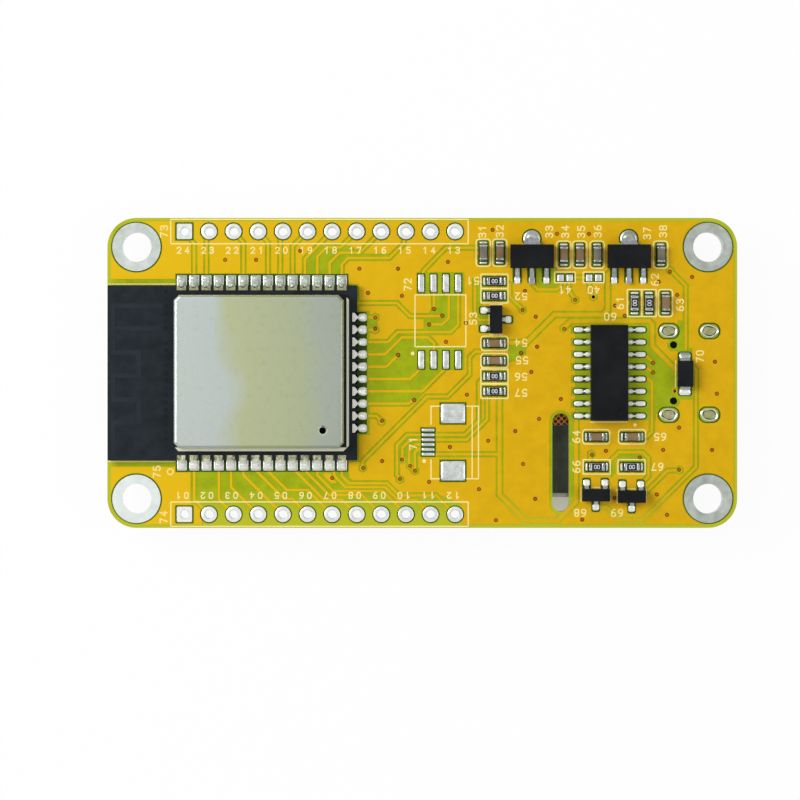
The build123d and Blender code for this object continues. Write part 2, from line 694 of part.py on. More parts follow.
def copper_layer():
    """Flooded copper and the traces in it, raised a little on the component side."""
    def field(corners):
        return make_face(Polyline(*corners, close=True))

    thin, wide = routes(), wide_routes()
    channel = 2 * trace_gap
    channels = [ribbon(corners, trace_width + channel) for corners in thin]
    channels += [ribbon(corners, wide_trace_width + channel) for corners in wide]
    halos = [where * Pos(x, y) * Rectangle(length + 2 * pad_gap, width + 2 * pad_gap)
             for where, footprint in all_footprints() for x, y, length, width in footprint]
    ring = header_pad_radius + pad_gap
    rings = [Pos(*header(i, side)) * (round_outline(ring, header_ring_sides) if i else
             Rectangle(2 * ring, 2 * ring)) for side in (1, -1) for i in range(header_count)]
    rings += [Pos(x, y) * Circle(mounting_ring_radius + pad_gap) for x, y in mounting_centres()]
    stretch = usb_tab_pad_length - usb_tab_pad_width
    tab_ring = usb_tab_pad_width / 2 + pad_gap
    rings += [Pos(x, y) * round_outline(tab_ring, usb_tab_pad_sides, stretch)
              for x, y in usb_tab_places()]
    rings += [Pos(usb_peg_x, y) * round_outline(usb_peg_radius + 2 * pad_gap)
              for y in evenly(2, usb_peg_spacing)]
    rings += [Pos(*spot) * round_outline(via_land_radius + trace_gap, via_sides) for spot in via_lands()]
    slot = SlotOverall(slot_length + 2 * slot_border, slot_width + 2 * slot_border)
    under_module = Pos(module_left + module_length / 2, 0) * Rectangle(
        module_length + 2 * pad_gap, module_width + 2 * pad_gap)
    antenna_length = side_first_inset - edge_pad_width / 2 - pad_gap
    under_antenna = Pos(module_left + antenna_length / 2, 0) * Rectangle(
        antenna_length, module_width + 2 * antenna_keepout)
    outline = RectangleRounded(board_length - 2 * copper_border, board_width - 2 * copper_border,
                               board_corner_radius - copper_border)
    bare = [field(corners) for corners in bare_fields()]
    bare += [place(slot_inset, slot_centre_y, 90) * slot, under_module, under_antenna]
    flood = outline - bare + [field(corners) for corners in flood_islands()]
    flood -= channels + halos + rings

    strips = [ribbon(corners, trace_width) for corners in thin]
    strips += [ribbon(corners, wide_trace_width) for corners in wide]
    strips += [Pos(*spot) * round_outline(via_land_radius, via_sides) for spot in via_lands()]
    pads = [where * Pos(x, y) * Rectangle(length, width)
            for where, footprint in all_footprints() for x, y, length, width in footprint]
    eyelets = [Pos(*header(i, side)) * (round_outline(header_pad_radius, header_ring_sides)
               if i else Rectangle(2 * header_pad_radius, 2 * header_pad_radius))
               for side in (1, -1) for i in range(header_count)]
    holes = [Pos(*spot) * round_outline(through_via_radius, via_sides) for spot in through_vias()]
    traces = (Sketch() + strips) & outline
    traces -= pads + eyelets + holes
    solids = []
    for face in [*flood.faces(), *traces.faces()]:
        if face.area > trace_width ** 2:
            solids.append(extrude(Pos(0, 0, board_top) * face, copper_thickness))
    return solids


# ------------------------------------------------------------------ Wi-Fi module
def module_board():
    """The module's own board, with a notch at each castellation."""
    board = Pos(module_left + module_length / 2, 0) * Rectangle(module_length, module_width)
    notch = round_outline(edge_hole_radius, edge_hole_sides)
    notches = [where * notch for where in module_edge_places()]
    return extrude(Pos(0, 0, seat) * (board - notches), module_thickness)


def module_lands():
    """Gold lands on the module's upper face, each behind its notch."""
    land = Pos(-edge_land_length / 2, 0) * Rectangle(edge_land_length, edge_pad_width)
    land -= round_outline(edge_hole_radius, edge_hole_sides)
    land = extrude(Pos(0, 0, module_top) * land, edge_land_thickness)
    return [where * land for where in module_edge_places()]


def edge_solder():
    """One solder joint: a hollow fillet from the top of the module's edge down to the pad."""
    waist = (edge_pad_reach * edge_waist, module_thickness * edge_waist)
    corners = [(0, 0), (edge_pad_reach, 0), waist, (0, module_thickness)]
    profile = make_face(Plane.XZ * Polyline(*corners, close=True))
    return Pos(0, 0, seat) * extrude(profile, edge_pad_width / 2, both=True)


def module_solder():
    """The solder joints along three edges of the module."""
    joint = edge_solder()
    return [where * joint for where in module_edge_places()]


def shield_can():
    """Folded can: rounded top, a skirt stepped out below it, and one vent hole."""
    left, right = -can_length / 2, can_length / 2
    lower, upper = -can_width / 2, can_width / 2
    skirt = (left, right, lower, upper)
    hood = (left + can_step, right - can_right_step, lower + can_lower_step, upper - can_step)

    def shell(edges, height, inset=0.0):
        length = edges[1] - edges[0] - 2 * inset
        width = edges[3] - edges[2] - 2 * inset
        outline = chamfer_corners(Rectangle(length, width), can_corner_cut)
        return extrude(Pos((edges[0] + edges[1]) / 2, (edges[2] + edges[3]) / 2) * outline, height)

    top = shell(hood, can_height)
    top = fillet(top.faces().sort_by(Axis.Z)[-1].edges(), can_fold_radius)
    can = top + shell(skirt, can_skirt_height)
    can -= shell(hood, can_height - can_sheet, can_sheet)
    can -= shell(skirt, can_skirt_height - can_sheet, can_sheet)
    vent = Pos(right - can_vent_inset_x, lower + can_vent_inset_y, can_height)
    return Pos(can_centre_x, 0, module_top) * (can - vent * Cylinder(can_vent_radius, can_height))


def chamfer_corners(outline, size):
    """A sheet outline with its four corners cut at 45 degrees."""
    return chamfer(outline.vertices(), size)


def on_module(x, y, shape):
    """A chip on the module's board, set out from the middle of the can."""
    return Pos(can_centre_x + x, y, module_top) * shape


def plain_chip(length, width, height, bevel):
    """Leadless chip: a block with bevelled upper edges, standing on z = 0."""
    block = Pos(0, 0, height / 2) * Box(length, width, height)
    return chamfer(block.faces().sort_by(Axis.Z)[-1].edges(), bevel)


def module_inner_parts():
    """The chips under the can, by node name."""
    flash_x = processor_offset_x + processor_side / 2 + inner_gap + flash_width / 2
    crystal_x = processor_offset_x - processor_side / 2 - inner_gap - crystal_width / 2
    row_y = processor_side / 2 + inner_gap
    small = plain_chip(small_chip_length, small_chip_width, small_chip_height, 0.05)
    smalls = [on_module(processor_offset_x + x, side * row_y, Rot(0, 0, 90) * small)
              for side in (-1, 1) for x in evenly(small_chip_count, small_chip_pitch)]
    return {
        "processor_chip": [on_module(processor_offset_x, 0,
                           plain_chip(processor_side, processor_side, processor_height, 0.1))],
        "flash_memory_chip": [on_module(flash_x, 0,
                              plain_chip(flash_width, flash_length, flash_height, 0.1))],
        "clock_crystal": [on_module(crystal_x, 0,
                          plain_chip(crystal_width, crystal_length, crystal_height, 0.15))],
        "module_small_parts": smalls,
    }


# ------------------------------------------------------------------ moulded packages
def moulded_body(length, width, height):
    """Moulded body about its parting plane, drawn in towards both faces."""
    outline = Rectangle(length, width)
    upper = extrude(outline, height / 2, taper=draft_angle)
    return upper + mirror(upper, Plane.XY)


def gull_lead(body_half, span, width, thickness, shoulder_z):
    """Lead that leaves the body level, bends down and ends in a flat foot; +X is outwards."""
    tip = span / 2
    room = tip - body_half
    shoulder = body_half + 0.28 * room
    heel = body_half + 0.55 * room
    top = shoulder_z + thickness / 2
    under = shoulder_z - thickness / 2
    lean = thickness * 0.7
    points = [
        (body_half - lead_bury, under), (shoulder - lean * 0.3, under), (heel - lean * 0.6, 0),
        (tip, 0), (tip, thickness), (heel + lean * 0.4, thickness), (shoulder + lean * 0.6, top),
        (body_half - lead_bury, top),
    ]
    profile = make_face(Plane.XZ * Polyline(*points, close=True))
    return extrude(profile, width / 2, both=True)


def package(body_size, lead_size, left, right):
    """Body and leads of a gull-wing package; left and right hold the leads' Y places."""
    length, width, height = body_size
    span, lead_width, thickness = lead_size
    middle = body_standoff + height / 2
    lead = gull_lead(width / 2, span, lead_width, thickness, middle)
    leads = [Pos(0, y) * lead for y in right]
    leads += [Pos(0, y) * Rot(0, 0, 180) * lead for y in left]
    body = Pos(0, 0, middle) * moulded_body(width, length, height)
    for one in leads:
        body -= one
    return body, leads


def serial_chip():
    """Sixteen-lead chip with a pin-one dimple."""
    rows = evenly(serial_leads_per_side, serial_lead_pitch)
    body, leads = package(serial_body, serial_lead, rows, rows)
    length, width, height = serial_body
    dimple = Cylinder(dimple_radius, 2 * dimple_depth)
    corner = Pos(width / 2 - 2 * dimple_radius, 2 * dimple_radius - length / 2,
                 body_standoff + height)
    return body - corner * dimple, leads


def transistor():
    """Three-lead transistor: two leads on the left and one on the right."""
    pair = (-transistor_lead_pitch, transistor_lead_pitch)
    return package(transistor_body, transistor_lead, pair, (0,))


def diode():
    """Two-lead rectifier with wide flat leads."""
    length, width, height = diode_body
    return package((width, length, height), diode_lead, (0,), (0,))


def regulator():
    """Regulator whose middle lead runs under the body into a round-ended heat tab."""
    body_half = regulator_width / 2
    body = moulded_body(regulator_length, regulator_width, regulator_height)
    body = Pos(0, 0, regulator_height / 2) * body
    lead_y = -body_half - regulator_lead_length / 2 + lead_bury / 2
    lead = Box(regulator_lead_width, regulator_lead_length + lead_bury, regulator_lead_thickness)
    outer = [Pos(x, lead_y, regulator_lead_thickness / 2) * lead
             for x in (-regulator_lead_pitch, regulator_lead_pitch)]
    tab_end = body_half + regulator_tab_length
    tab_radius = regulator_tab_width / 2
    middle = Pos(0, -body_half - regulator_lead_length / 2 + tab_end / 2 - tab_radius / 2)
    middle_length = body_half + regulator_lead_length + tab_end - tab_radius
    middle = middle * Rectangle(regulator_lead_width, middle_length)
    paddle_length = tab_end + lead_bury
    paddle = Pos(0, tab_end - paddle_length / 2) * Rectangle(regulator_tab_width, paddle_length)
    paddle = fillet(paddle.vertices().group_by(Axis.Y)[-1], tab_radius * 0.8)
    frame = extrude(middle + paddle, regulator_lead_thickness)
    leads = outer + [frame]
    for one in leads:
        body -= one
    return body, leads


# ------------------------------------------------------------------ chip capacitors, resistors
def end_caps(height):
    """Plated blocks at the two ends of a chip part."""
    cap = Box(terminal_length, passive_width, height)
    offset = (passive_length - terminal_length) / 2
    return [Pos(side * offset, 0, height / 2) * cap for side in (-1, 1)]


def chip_core(height):
    """Ceramic block between the end blocks, drawn in by the plating's thickness."""
    return Pos(0, 0, height / 2) * Box(passive_length - 2 * terminal_length,
                                       passive_width - 2 * terminal_plating,
                                       height - 2 * terminal_plating)


def capacitor():
    """Ceramic block with an end cup on each side."""
    return [chip_core(capacitor_height), *end_caps(capacitor_height)]


def resistor():
    """Ceramic block, end cups and the coat over its resistive film."""
    coat = Box(passive_length - 2 * terminal_length, passive_width - 4 * terminal_plating,
               resistor_coat_thickness)
    coat_z = resistor_height - terminal_plating + resistor_coat_thickness / 2
    return [chip_core(resistor_height), *end_caps(resistor_height), Pos(0, 0, coat_z) * coat]


# ------------------------------------------------------------------ USB socket
def usb_outline(shrink):
    """Section of the socket, with the round ends that suit either way up."""
    return SlotOverall(usb_width - 2 * shrink, usb_height - 2 * shrink)


def usb_section_plane(x):
    """Plane across the socket at x, facing +X, centred on the socket."""
    return Plane(origin=(x, 0, -usb_height / 2), x_dir=(0, 1, 0), z_dir=(1, 0, 0))


def usb_shell():
    """Folded steel shell, open at the front, with four tabs up through the board."""
    outer = extrude(usb_section_plane(usb_rear) * usb_outline(0), usb_length)
    inner = extrude(usb_section_plane(usb_rear) * usb_outline(usb_sheet), usb_length)
    shell = outer - inner
    tab_height = board_thickness + usb_tab_proud + usb_height / 2
    tab_z = board_top + usb_tab_proud - tab_height / 2
    for x, y in usb_tab_places():
        tab = Pos(x, y, tab_z) * Box(usb_tab_length, usb_sheet, tab_height)
        shell += tab - inner
    return shell


def usb_insulator():
    """Moulded insert: a rear block, the tongue that the plug slides over, and two pegs."""
    block = extrude(usb_section_plane(usb_rear) * usb_outline(usb_sheet), usb_back_block)
    tongue_length = usb_length - usb_tongue_setback
    tongue = Pos(usb_rear + tongue_length / 2, 0, -usb_height / 2) * Box(
        tongue_length, usb_tongue_width, usb_tongue_thickness)
    tongue = chamfer(tongue.faces().sort_by(Axis.X)[-1].edges(), usb_tongue_thickness / 5)
    insert = block + tongue
    peg_height = board_thickness + usb_sheet
    for y in evenly(2, usb_peg_spacing):
        peg = extrude(Pos(usb_peg_x, y, board_top) * round_outline(usb_peg_radius), -peg_height)
        insert += peg
    groove = Box(usb_back_block, usb_contact_width, usb_contact_thickness)
    groove_z = (usb_tongue_thickness + usb_contact_thickness - usb_height) / 2
    grooves = [Pos(usb_rear + usb_back_block / 2, y, groove_z) * groove
               for y in evenly(usb_contact_count, usb_contact_pitch)]
    return insert - grooves


def usb_peg_holes(shell):
    """Two openings in the shell's upper wall for the insert's pegs."""
    for y in evenly(2, usb_peg_spacing):
        opening = Pos(usb_peg_x, y) * round_outline(usb_peg_radius)
        shell -= extrude(opening, usb_sheet, both=True)
    return shell


def usb_contacts():
    """Spring contacts: a strip on the tongue, bent up behind the block to a tail on a pad."""
    tongue_face = -usb_height / 2 + usb_tongue_thickness / 2
    strip_front = usb_front - 2 * usb_tongue_setback
    t = usb_contact_thickness
    rear = usb_rear
    points = [
        (strip_front, tongue_face), (strip_front, tongue_face + t), (rear, tongue_face + t),
        (rear, -pad_thickness), (rear - usb_contact_tail, -pad_thickness),
        (rear - usb_contact_tail, -pad_thickness - t), (rear - t, -pad_thickness - t),
        (rear - t, tongue_face),
    ]
    profile = make_face(Plane.XZ * Polyline(*points, close=True))
    strip = extrude(profile, usb_contact_width / 2, both=True)
    return [Pos(0, y) * strip for y in evenly(usb_contact_count, usb_contact_pitch)]


# ------------------------------------------------------------------ display
def display_tray():
    """Backlight tray: a shallow open box that faces away from the board."""
    outer = Box(display_length, display_width, tray_thickness)
    pocket = Box(display_length - 2 * tray_wall, display_width - 2 * tray_wall,
                 tray_thickness - tray_floor)
    outer = fillet(outer.edges().filter_by(Axis.Z), tray_wall)
    tray = outer - Pos(0, 0, -tray_floor / 2) * pocket
    return Pos(display_centre_x, 0, tray_back - tray_thickness / 2) * tray


def display_light_guide():
    """Clear sheet that fills the tray and spreads the backlight."""
    guide = Box(display_length - 2 * tray_wall, display_width - 2 * tray_wall,
                tray_thickness - tray_floor)
    return Pos(display_centre_x, 0, glass_back + (tray_thickness - tray_floor) / 2) * guide


def display_glass():
    """The panel: a full sheet of glass, and a shorter one that leaves the flex's ledge bare."""
    length = display_length - 2 * glass_margin
    width = display_width - 2 * glass_margin
    inner_thickness = glass_thickness - cover_glass_thickness
    inner = Box(length, width, inner_thickness)
    cover_length = length - glass_ledge_length
    cover = Box(cover_length, width, cover_glass_thickness)
    panel = Pos(0, 0, -inner_thickness / 2) * inner
    cover_z = -inner_thickness - cover_glass_thickness / 2
    panel += Pos(-glass_ledge_length / 2, 0, cover_z) * cover
    return Pos(display_centre_x, 0, glass_back) * panel


def display_flex():
    """Flexible tail: from the glass ledge round the end of the tray and back along it."""
    t = flex_thickness
    panel_right = display_right - glass_margin
    ledge_z = glass_back - (glass_thickness - cover_glass_thickness)
    fold_x = display_right + flex_fold_gap
    back_z = tray_back
    points = [
        (panel_right - glass_ledge_length * 0.7, ledge_z), (fold_x, ledge_z), (fold_x, back_z),
        (display_right - flex_tail_length, back_z), (display_right - flex_tail_length, back_z + t),
        (fold_x + t, back_z + t), (fold_x + t, ledge_z - t),
        (panel_right - glass_ledge_length * 0.7, ledge_z - t),
    ]
    profile = make_face(Plane.XZ * Polyline(*points, close=True))
    outer = profile.vertices().group_by(Axis.X)[-1]
    profile = fillet(outer, 2 * t)
    return extrude(profile, flex_width / 2, both=True)


def display_foam():
    """Two strips of foam tape between the tray and the board, one each side of the tail."""
    strip = Box(display_length - 2 * tray_wall, foam_width, foam_thickness)
    offset = (flex_width + foam_width) / 2 + fit_clearance
    return [Pos(display_centre_x, side * offset, -foam_thickness / 2) * strip
            for side in (-1, 1)]


# ------------------------------------------------------------------ assembly
def build_nodes():
    """Every node of the part: name and its solids."""
    nodes = {
        "circuit_board": [circuit_board()],
        "mounting_hole_plating": mounting_plating(),
        "header_hole_plating": header_plating(),
        "surface_pads": surface_pads() + usb_tab_pads(),
        "copper_layer": copper_layer(),
        "module_board": [module_board()],
        "module_contact_lands": module_lands(),
        "module_solder_joints": module_solder(),
        "module_shield_can": [shield_can()],
        "usb_shell": [usb_peg_holes(usb_shell())],
        "usb_insulator": [usb_insulator()],
        "usb_contacts": usb_contacts(),
        "display_backlight_tray": [display_tray()],
        "display_light_guide": [display_light_guide()],
        "display_glass": [display_glass()],
        "display_flex": [display_flex()],
        "display_foam_tape": display_foam(),
    }
    nodes.update(module_inner_parts())
    for name, where in capacitor_places.items():
        nodes[name] = [place(*where, seat) * solid for solid in capacitor()]
    for name, where in resistor_places.items():
        nodes[name] = [place(*where, seat) * solid for solid in resistor()]
    packages = [(name, place(*where, seat), regulator()) for name, where in
                regulator_places.items()]
    packages += [(name, place(*where, seat), transistor()) for name, where in
                 transistor_places.items()]
    packages.append(("rectifier_diode", place(*diode_place, seat), diode()))
    packages.append(("usb_serial_chip", place(serial_inset, 0, 0, seat), serial_chip()))
    for name, where, (body, leads) in packages:
        nodes[name + "_body"] = [where * body]
        nodes[name + "_leads"] = [where * lead for lead in leads]
    return nodes


os.makedirs("parts", exist_ok=True)
for node, solids in build_nodes().items():
    export_step(Compound(children=list(solids)), f"parts/{node}.step")
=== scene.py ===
"""Looks of the development board: materials, solder, tented vias, silkscreen and the studio."""

import math
import random

import bmesh
import bpy
from mathutils import Matrix, Vector


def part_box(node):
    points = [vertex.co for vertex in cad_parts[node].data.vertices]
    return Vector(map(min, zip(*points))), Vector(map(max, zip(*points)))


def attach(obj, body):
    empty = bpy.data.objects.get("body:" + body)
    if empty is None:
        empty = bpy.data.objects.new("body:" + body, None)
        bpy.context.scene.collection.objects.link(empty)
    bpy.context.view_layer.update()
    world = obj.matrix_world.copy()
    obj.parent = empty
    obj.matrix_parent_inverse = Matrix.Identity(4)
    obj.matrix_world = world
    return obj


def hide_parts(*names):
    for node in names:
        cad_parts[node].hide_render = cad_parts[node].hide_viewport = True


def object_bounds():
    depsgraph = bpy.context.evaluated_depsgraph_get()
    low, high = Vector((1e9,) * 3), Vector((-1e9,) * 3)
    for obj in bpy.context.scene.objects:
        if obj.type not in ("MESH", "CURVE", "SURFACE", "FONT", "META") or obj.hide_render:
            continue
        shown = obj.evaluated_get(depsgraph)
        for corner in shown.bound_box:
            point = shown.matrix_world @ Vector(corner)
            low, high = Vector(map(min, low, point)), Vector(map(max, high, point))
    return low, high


random.seed(7)
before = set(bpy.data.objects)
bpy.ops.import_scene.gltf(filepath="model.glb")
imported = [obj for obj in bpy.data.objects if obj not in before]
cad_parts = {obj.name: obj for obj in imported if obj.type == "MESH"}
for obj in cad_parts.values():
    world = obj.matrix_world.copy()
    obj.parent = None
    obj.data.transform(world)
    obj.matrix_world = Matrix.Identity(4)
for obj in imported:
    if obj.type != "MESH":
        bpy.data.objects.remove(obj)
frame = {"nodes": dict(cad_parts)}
cad_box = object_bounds()
NODES = frame["nodes"]
MM = 0.001


# --- shader helpers
def linear(value):
    """One sRGB channel, 0 to 255, as a linear one."""
    c = value / 255
    return c / 12.92 if c <= 0.04045 else ((c + 0.055) / 1.055) ** 2.4


def srgb(r, g, b):
    """An sRGB colour as the linear RGBA that a socket takes."""
    return (linear(r), linear(g), linear(b), 1.0)


class Nodes:
    """Adds and joins the nodes of one tree."""

    def __init__(self, tree, place):
        self.tree = tree
        self.place = self.new("ShaderNodeTexCoord", {}, place)

    def feed(self, node, inputs):
        """Sets or links a node's inputs by name or number."""
        for key, value in inputs.items():
            socket = node.inputs[key]
            if isinstance(value, bpy.types.NodeSocket):
                self.tree.links.new(value, socket)
            else:
                socket.default_value = value

    def new(self, kind, inputs, output=0, **settings):
        """One output of a new node."""
        made = self.tree.nodes.new(kind)
        for key, value in settings.items():
            setattr(made, key, value)
        self.feed(made, inputs)
        return made.outputs[output]

    def noise(self, scale, detail=3.0, roughness=0.55):
        """Noise at so many features per metre."""
        return self.new("ShaderNodeTexNoise", {"Vector": self.place, "Scale": scale,
                                               "Detail": detail, "Roughness": roughness}, "Fac")

    def ramp(self, fac, *stops):
        """A colour ramp over (position, sRGB colour) stops."""
        made = self.tree.nodes.new("ShaderNodeValToRGB")
        self.feed(made, {0: fac})
        ramp = made.color_ramp
        while len(ramp.elements) < len(stops):
            ramp.elements.new(0.5)
        for element, (position, colour) in zip(ramp.elements, stops):
            element.position = position
            element.color = srgb(*colour)
        return made.outputs["Color"]

    def grey(self, fac, low, high, start=0.3, end=0.7):
        """Maps a value between start and end to a plain number from low to high."""
        return self.new("ShaderNodeMapRange", {"Value": fac, "From Min": start, "From Max": end,
                                               "To Min": low, "To Max": high}, "Result")

    def math(self, operation, a, b=0.0):
        """One sum on plain numbers."""
        return self.new("ShaderNodeMath", {0: a, 1: b}, operation=operation)

    def mix(self, fac, a, b):
        """Colour a where fac is 0, colour b where it is 1."""
        return self.new("ShaderNodeMix", {0: fac, 6: a, 7: b}, 2, data_type="RGBA")

    def axis(self, index, source=None):
        """One coordinate of the place, or of another vector."""
        return self.new("ShaderNodeSeparateXYZ", {0: source or self.place}, index)

    def normal(self, index):
        """One part of the surface's own normal."""
        return self.axis(index, self.new("ShaderNodeNewGeometry", {}, "Normal"))


class Shader(Nodes):
    """Builds one procedural material."""

    def __init__(self, name, **inputs):
        self.material = bpy.data.materials.new(name)
        self.material.use_nodes = True
        super().__init__(self.material.node_tree, "Object")
        self.principled = self.tree.nodes["Principled BSDF"]
        self.surface(**inputs)

    def surface(self, **inputs):
        """Sets or links inputs of the surface, named with underscores."""
        self.feed(self.principled, {key.replace("_", " "): inputs[key] for key in inputs})

    def bump(self, height, strength, distance):
        """Fine relief, with its depth in metres."""
        self.surface(Normal=self.new("ShaderNodeBump", {"Height": height, "Strength": strength,
                                                        "Distance": distance}))


# --- materials
def mask(name, light, dark, edge, left=None, border=None):
    """A mottled glossy coat; left tints that side, border the board's outer strip."""
    s = Shader(name, Roughness=0.38, Specular_IOR_Level=0.12)
    mottle = s.noise(900, 2)
    colour = s.ramp(mottle, (0.3, dark), (0.7, light))
    if left:
        shift = s.grey(s.axis(0), 1.0, 0.0, -30 * MM, 12 * MM)
        colour = s.mix(shift, colour, srgb(*left))
    if border:
        low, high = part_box("circuit_board")
        outer = None
        for index in (0, 1):
            away = s.math("ABSOLUTE", s.axis(index))
            here = s.grey(away, 0.0, 1.0, high[index] - 1.1 * MM, high[index] - 0.2 * MM)
            outer = here if outer is None else s.math("MAXIMUM", outer, here)
        lower = s.grey(s.axis(1), 1.0, 0.0, low[1] + 1.0 * MM, low[1] + 4.2 * MM)
        outer = s.math("MAXIMUM", outer, lower)
        colour = s.mix(outer, colour, srgb(*border))
    level = s.grey(s.math("ABSOLUTE", s.normal(2)), 0.0, 1.0, 0.45, 0.65)
    s.surface(Base_Color=s.mix(level, srgb(*edge), colour))
    s.bump(s.noise(5200, 2), 0.12, 0.02 * MM)
    return s.material


def metal(name, low, high, roughness, scale=2500, bump=0.15, metallic=1.0, painted_highlight=None):
    """Metal of wandering tint; its last colour, if given, is a painted highlight that brightens it
    toward the board's lower left.
    """
    s = Shader(name, Metallic=metallic)
    mottle = s.noise(scale, 4, 0.6)
    colour = s.ramp(mottle, (0.3, low), (0.7, high))
    if painted_highlight:
        left = s.grey(s.axis(0), 1.0, 0.0, -30 * MM, 0.0)
        lower = s.grey(s.axis(1), 1.0, 0.45, -12 * MM, 12 * MM)
        colour = s.mix(s.math("MULTIPLY", left, lower), colour, srgb(*painted_highlight))
    s.surface(Base_Color=colour, Roughness=s.grey(mottle, roughness * 0.8, roughness * 1.2))
    s.bump(mottle, bump, 0.02 * MM)
    return s.material


def moulding(name, low, high, roughness=0.5, scale=6000, bump=0.35, gloss=0.3):
    """Moulded plastic or epoxy with a fine sandy grain."""
    s = Shader(name, Specular_IOR_Level=gloss)
    grain = s.noise(scale, 4, 0.65)
    patch = s.noise(420, 2)
    s.surface(Base_Color=s.ramp(patch, (0.35, low), (0.7, high)),
              Roughness=s.grey(grain, roughness * 0.85, roughness * 1.15))
    s.bump(grain, bump, 0.01 * MM)
    return s.material


# boards and their masks
MASK_GREEN = mask("mask_over_laminate", (164, 178, 14), (146, 162, 8), (196, 190, 110),
                           border=(182, 186, 36))
MASK_GOLD = mask("mask_over_copper", (220, 174, 8), (210, 165, 5), (190, 150, 12),
                          left=(226, 184, 14))
BLACK_MASK = mask("black_mask", (36, 43, 48), (27, 33, 39), (70, 66, 50))
VIA_BROWN = moulding("sunk_mask", (118, 60, 6), (150, 84, 10), 0.5, 9000, 0.2, 0.1)
VIA_DISH = moulding("via_dish", (168, 108, 18), (190, 126, 20), 0.5, 9000, 0.2, 0.1)
# painted shade: the mask darkened round pad openings, round and under parts, and in the USB slots
PAINTED_SHADE_GREEN = moulding("painted_mask_shade", (46, 68, 10), (66, 90, 14), 0.5, 5000, 0.2, 0.1)
ANTENNA = moulding("masked_aerial", (32, 40, 46), (38, 46, 52), 0.4, gloss=0.15)
ANTENNA_RING = moulding("masked_fence", (18, 24, 27), (30, 36, 38), 0.4, gloss=0.15)
INK_WHITE = moulding("silkscreen_ink", (243, 224, 132), (247, 232, 160), 0.6, 5000, 0.2)
# plating and solder
TIN = metal("tinned_copper", (200, 206, 204), (242, 246, 242), 0.32, 1700, 0.4, 0.66)
# painted highlight: lighter toward the board's lower left, on the mounting rings and regulator tabs
RING_TIN = metal("ring_tin", (174, 182, 174), (206, 214, 204), 0.36, 900, 0.3, 0.7,
                          painted_highlight=(242, 250, 246))
# painted highlight: lighter toward the board's lower left, on the header eyelets
EYELET = metal("tinned_eyelet", (220, 228, 222), (248, 252, 246), 0.3, 1700, 0.4, 0.5,
                        painted_highlight=(254, 255, 252))
LEAD = metal("lead_tin", (150, 154, 154), (200, 204, 202), 0.3, 2600, 0.4, 0.9)
# solder painted near-white and mostly diffuse: its own bright tin plus a painted highlight in place
# of its reflections
BRIGHT = metal("solder_with_painted_highlight", (226, 230, 222), (255, 255, 248), 0.2, 3000, 0.5, 0.2)
JOINT = metal("joint_solder", (166, 176, 164), (224, 234, 228), 0.34, 2600, 0.35, 0.35)
SOLDER = metal("solder", (206, 210, 212), (254, 254, 254), 0.22, 3600, 0.7, 0.5)
FLUX = metal("flux_on_solder", (150, 152, 100), (186, 186, 136), 0.35, 2200, 0.4, 0.5)
STAINED_TIN = metal("stained_tin", (84, 84, 58), (244, 244, 204), 0.35, 2600, 0.5, 0.6)
STAINED_GILT = metal("stained_gilt", (138, 142, 96), (200, 196, 152), 0.35, 2800, 0.3, 0.7)
GOLD = metal("gilt_contact", (214, 190, 120), (240, 222, 168), 0.3, 3000)
# chips
EPOXY = moulding("black_epoxy", (14, 17, 20), (24, 27, 30), 0.6, gloss=0.12)
CERAMIC = moulding("ceramic_brown", (114, 91, 64), (144, 116, 85), 0.45, 4000)
CERAMIC_GREY = moulding("ceramic_grey", (96, 92, 78), (128, 122, 106), 0.45, 4000)
ALUMINA = moulding("resistor_ceramic", (214, 212, 204), (232, 230, 224), 0.4)
GLAZE = moulding("resistor_glaze", (18, 20, 24), (30, 32, 38), 0.25, 3000, 0.1)
MARK = moulding("resistor_mark", (190, 196, 204), (214, 218, 224), 0.5)
CAP_END = metal("chip_termination", (110, 116, 116), (236, 240, 238), 0.3, 4200, 0.8)
# can, socket and display
RIM = moulding("vent_rim", (206, 208, 176), (222, 224, 196), 0.4)
STEEL = metal("socket_steel", (188, 190, 190), (214, 216, 216), 0.3, 900)
PLASTIC = moulding("socket_plastic", (3, 3, 4), (9, 9, 10), 0.5, gloss=0.08)
TAPE = moulding("foam_tape", (54, 62, 58), (74, 82, 76), 0.7, 2600, 0.6)
TRAY = metal("tray_metal", (176, 174, 160), (204, 202, 190), 0.4, 700)
GUIDE = moulding("light_guide", (214, 214, 208), (230, 230, 224), 0.3)


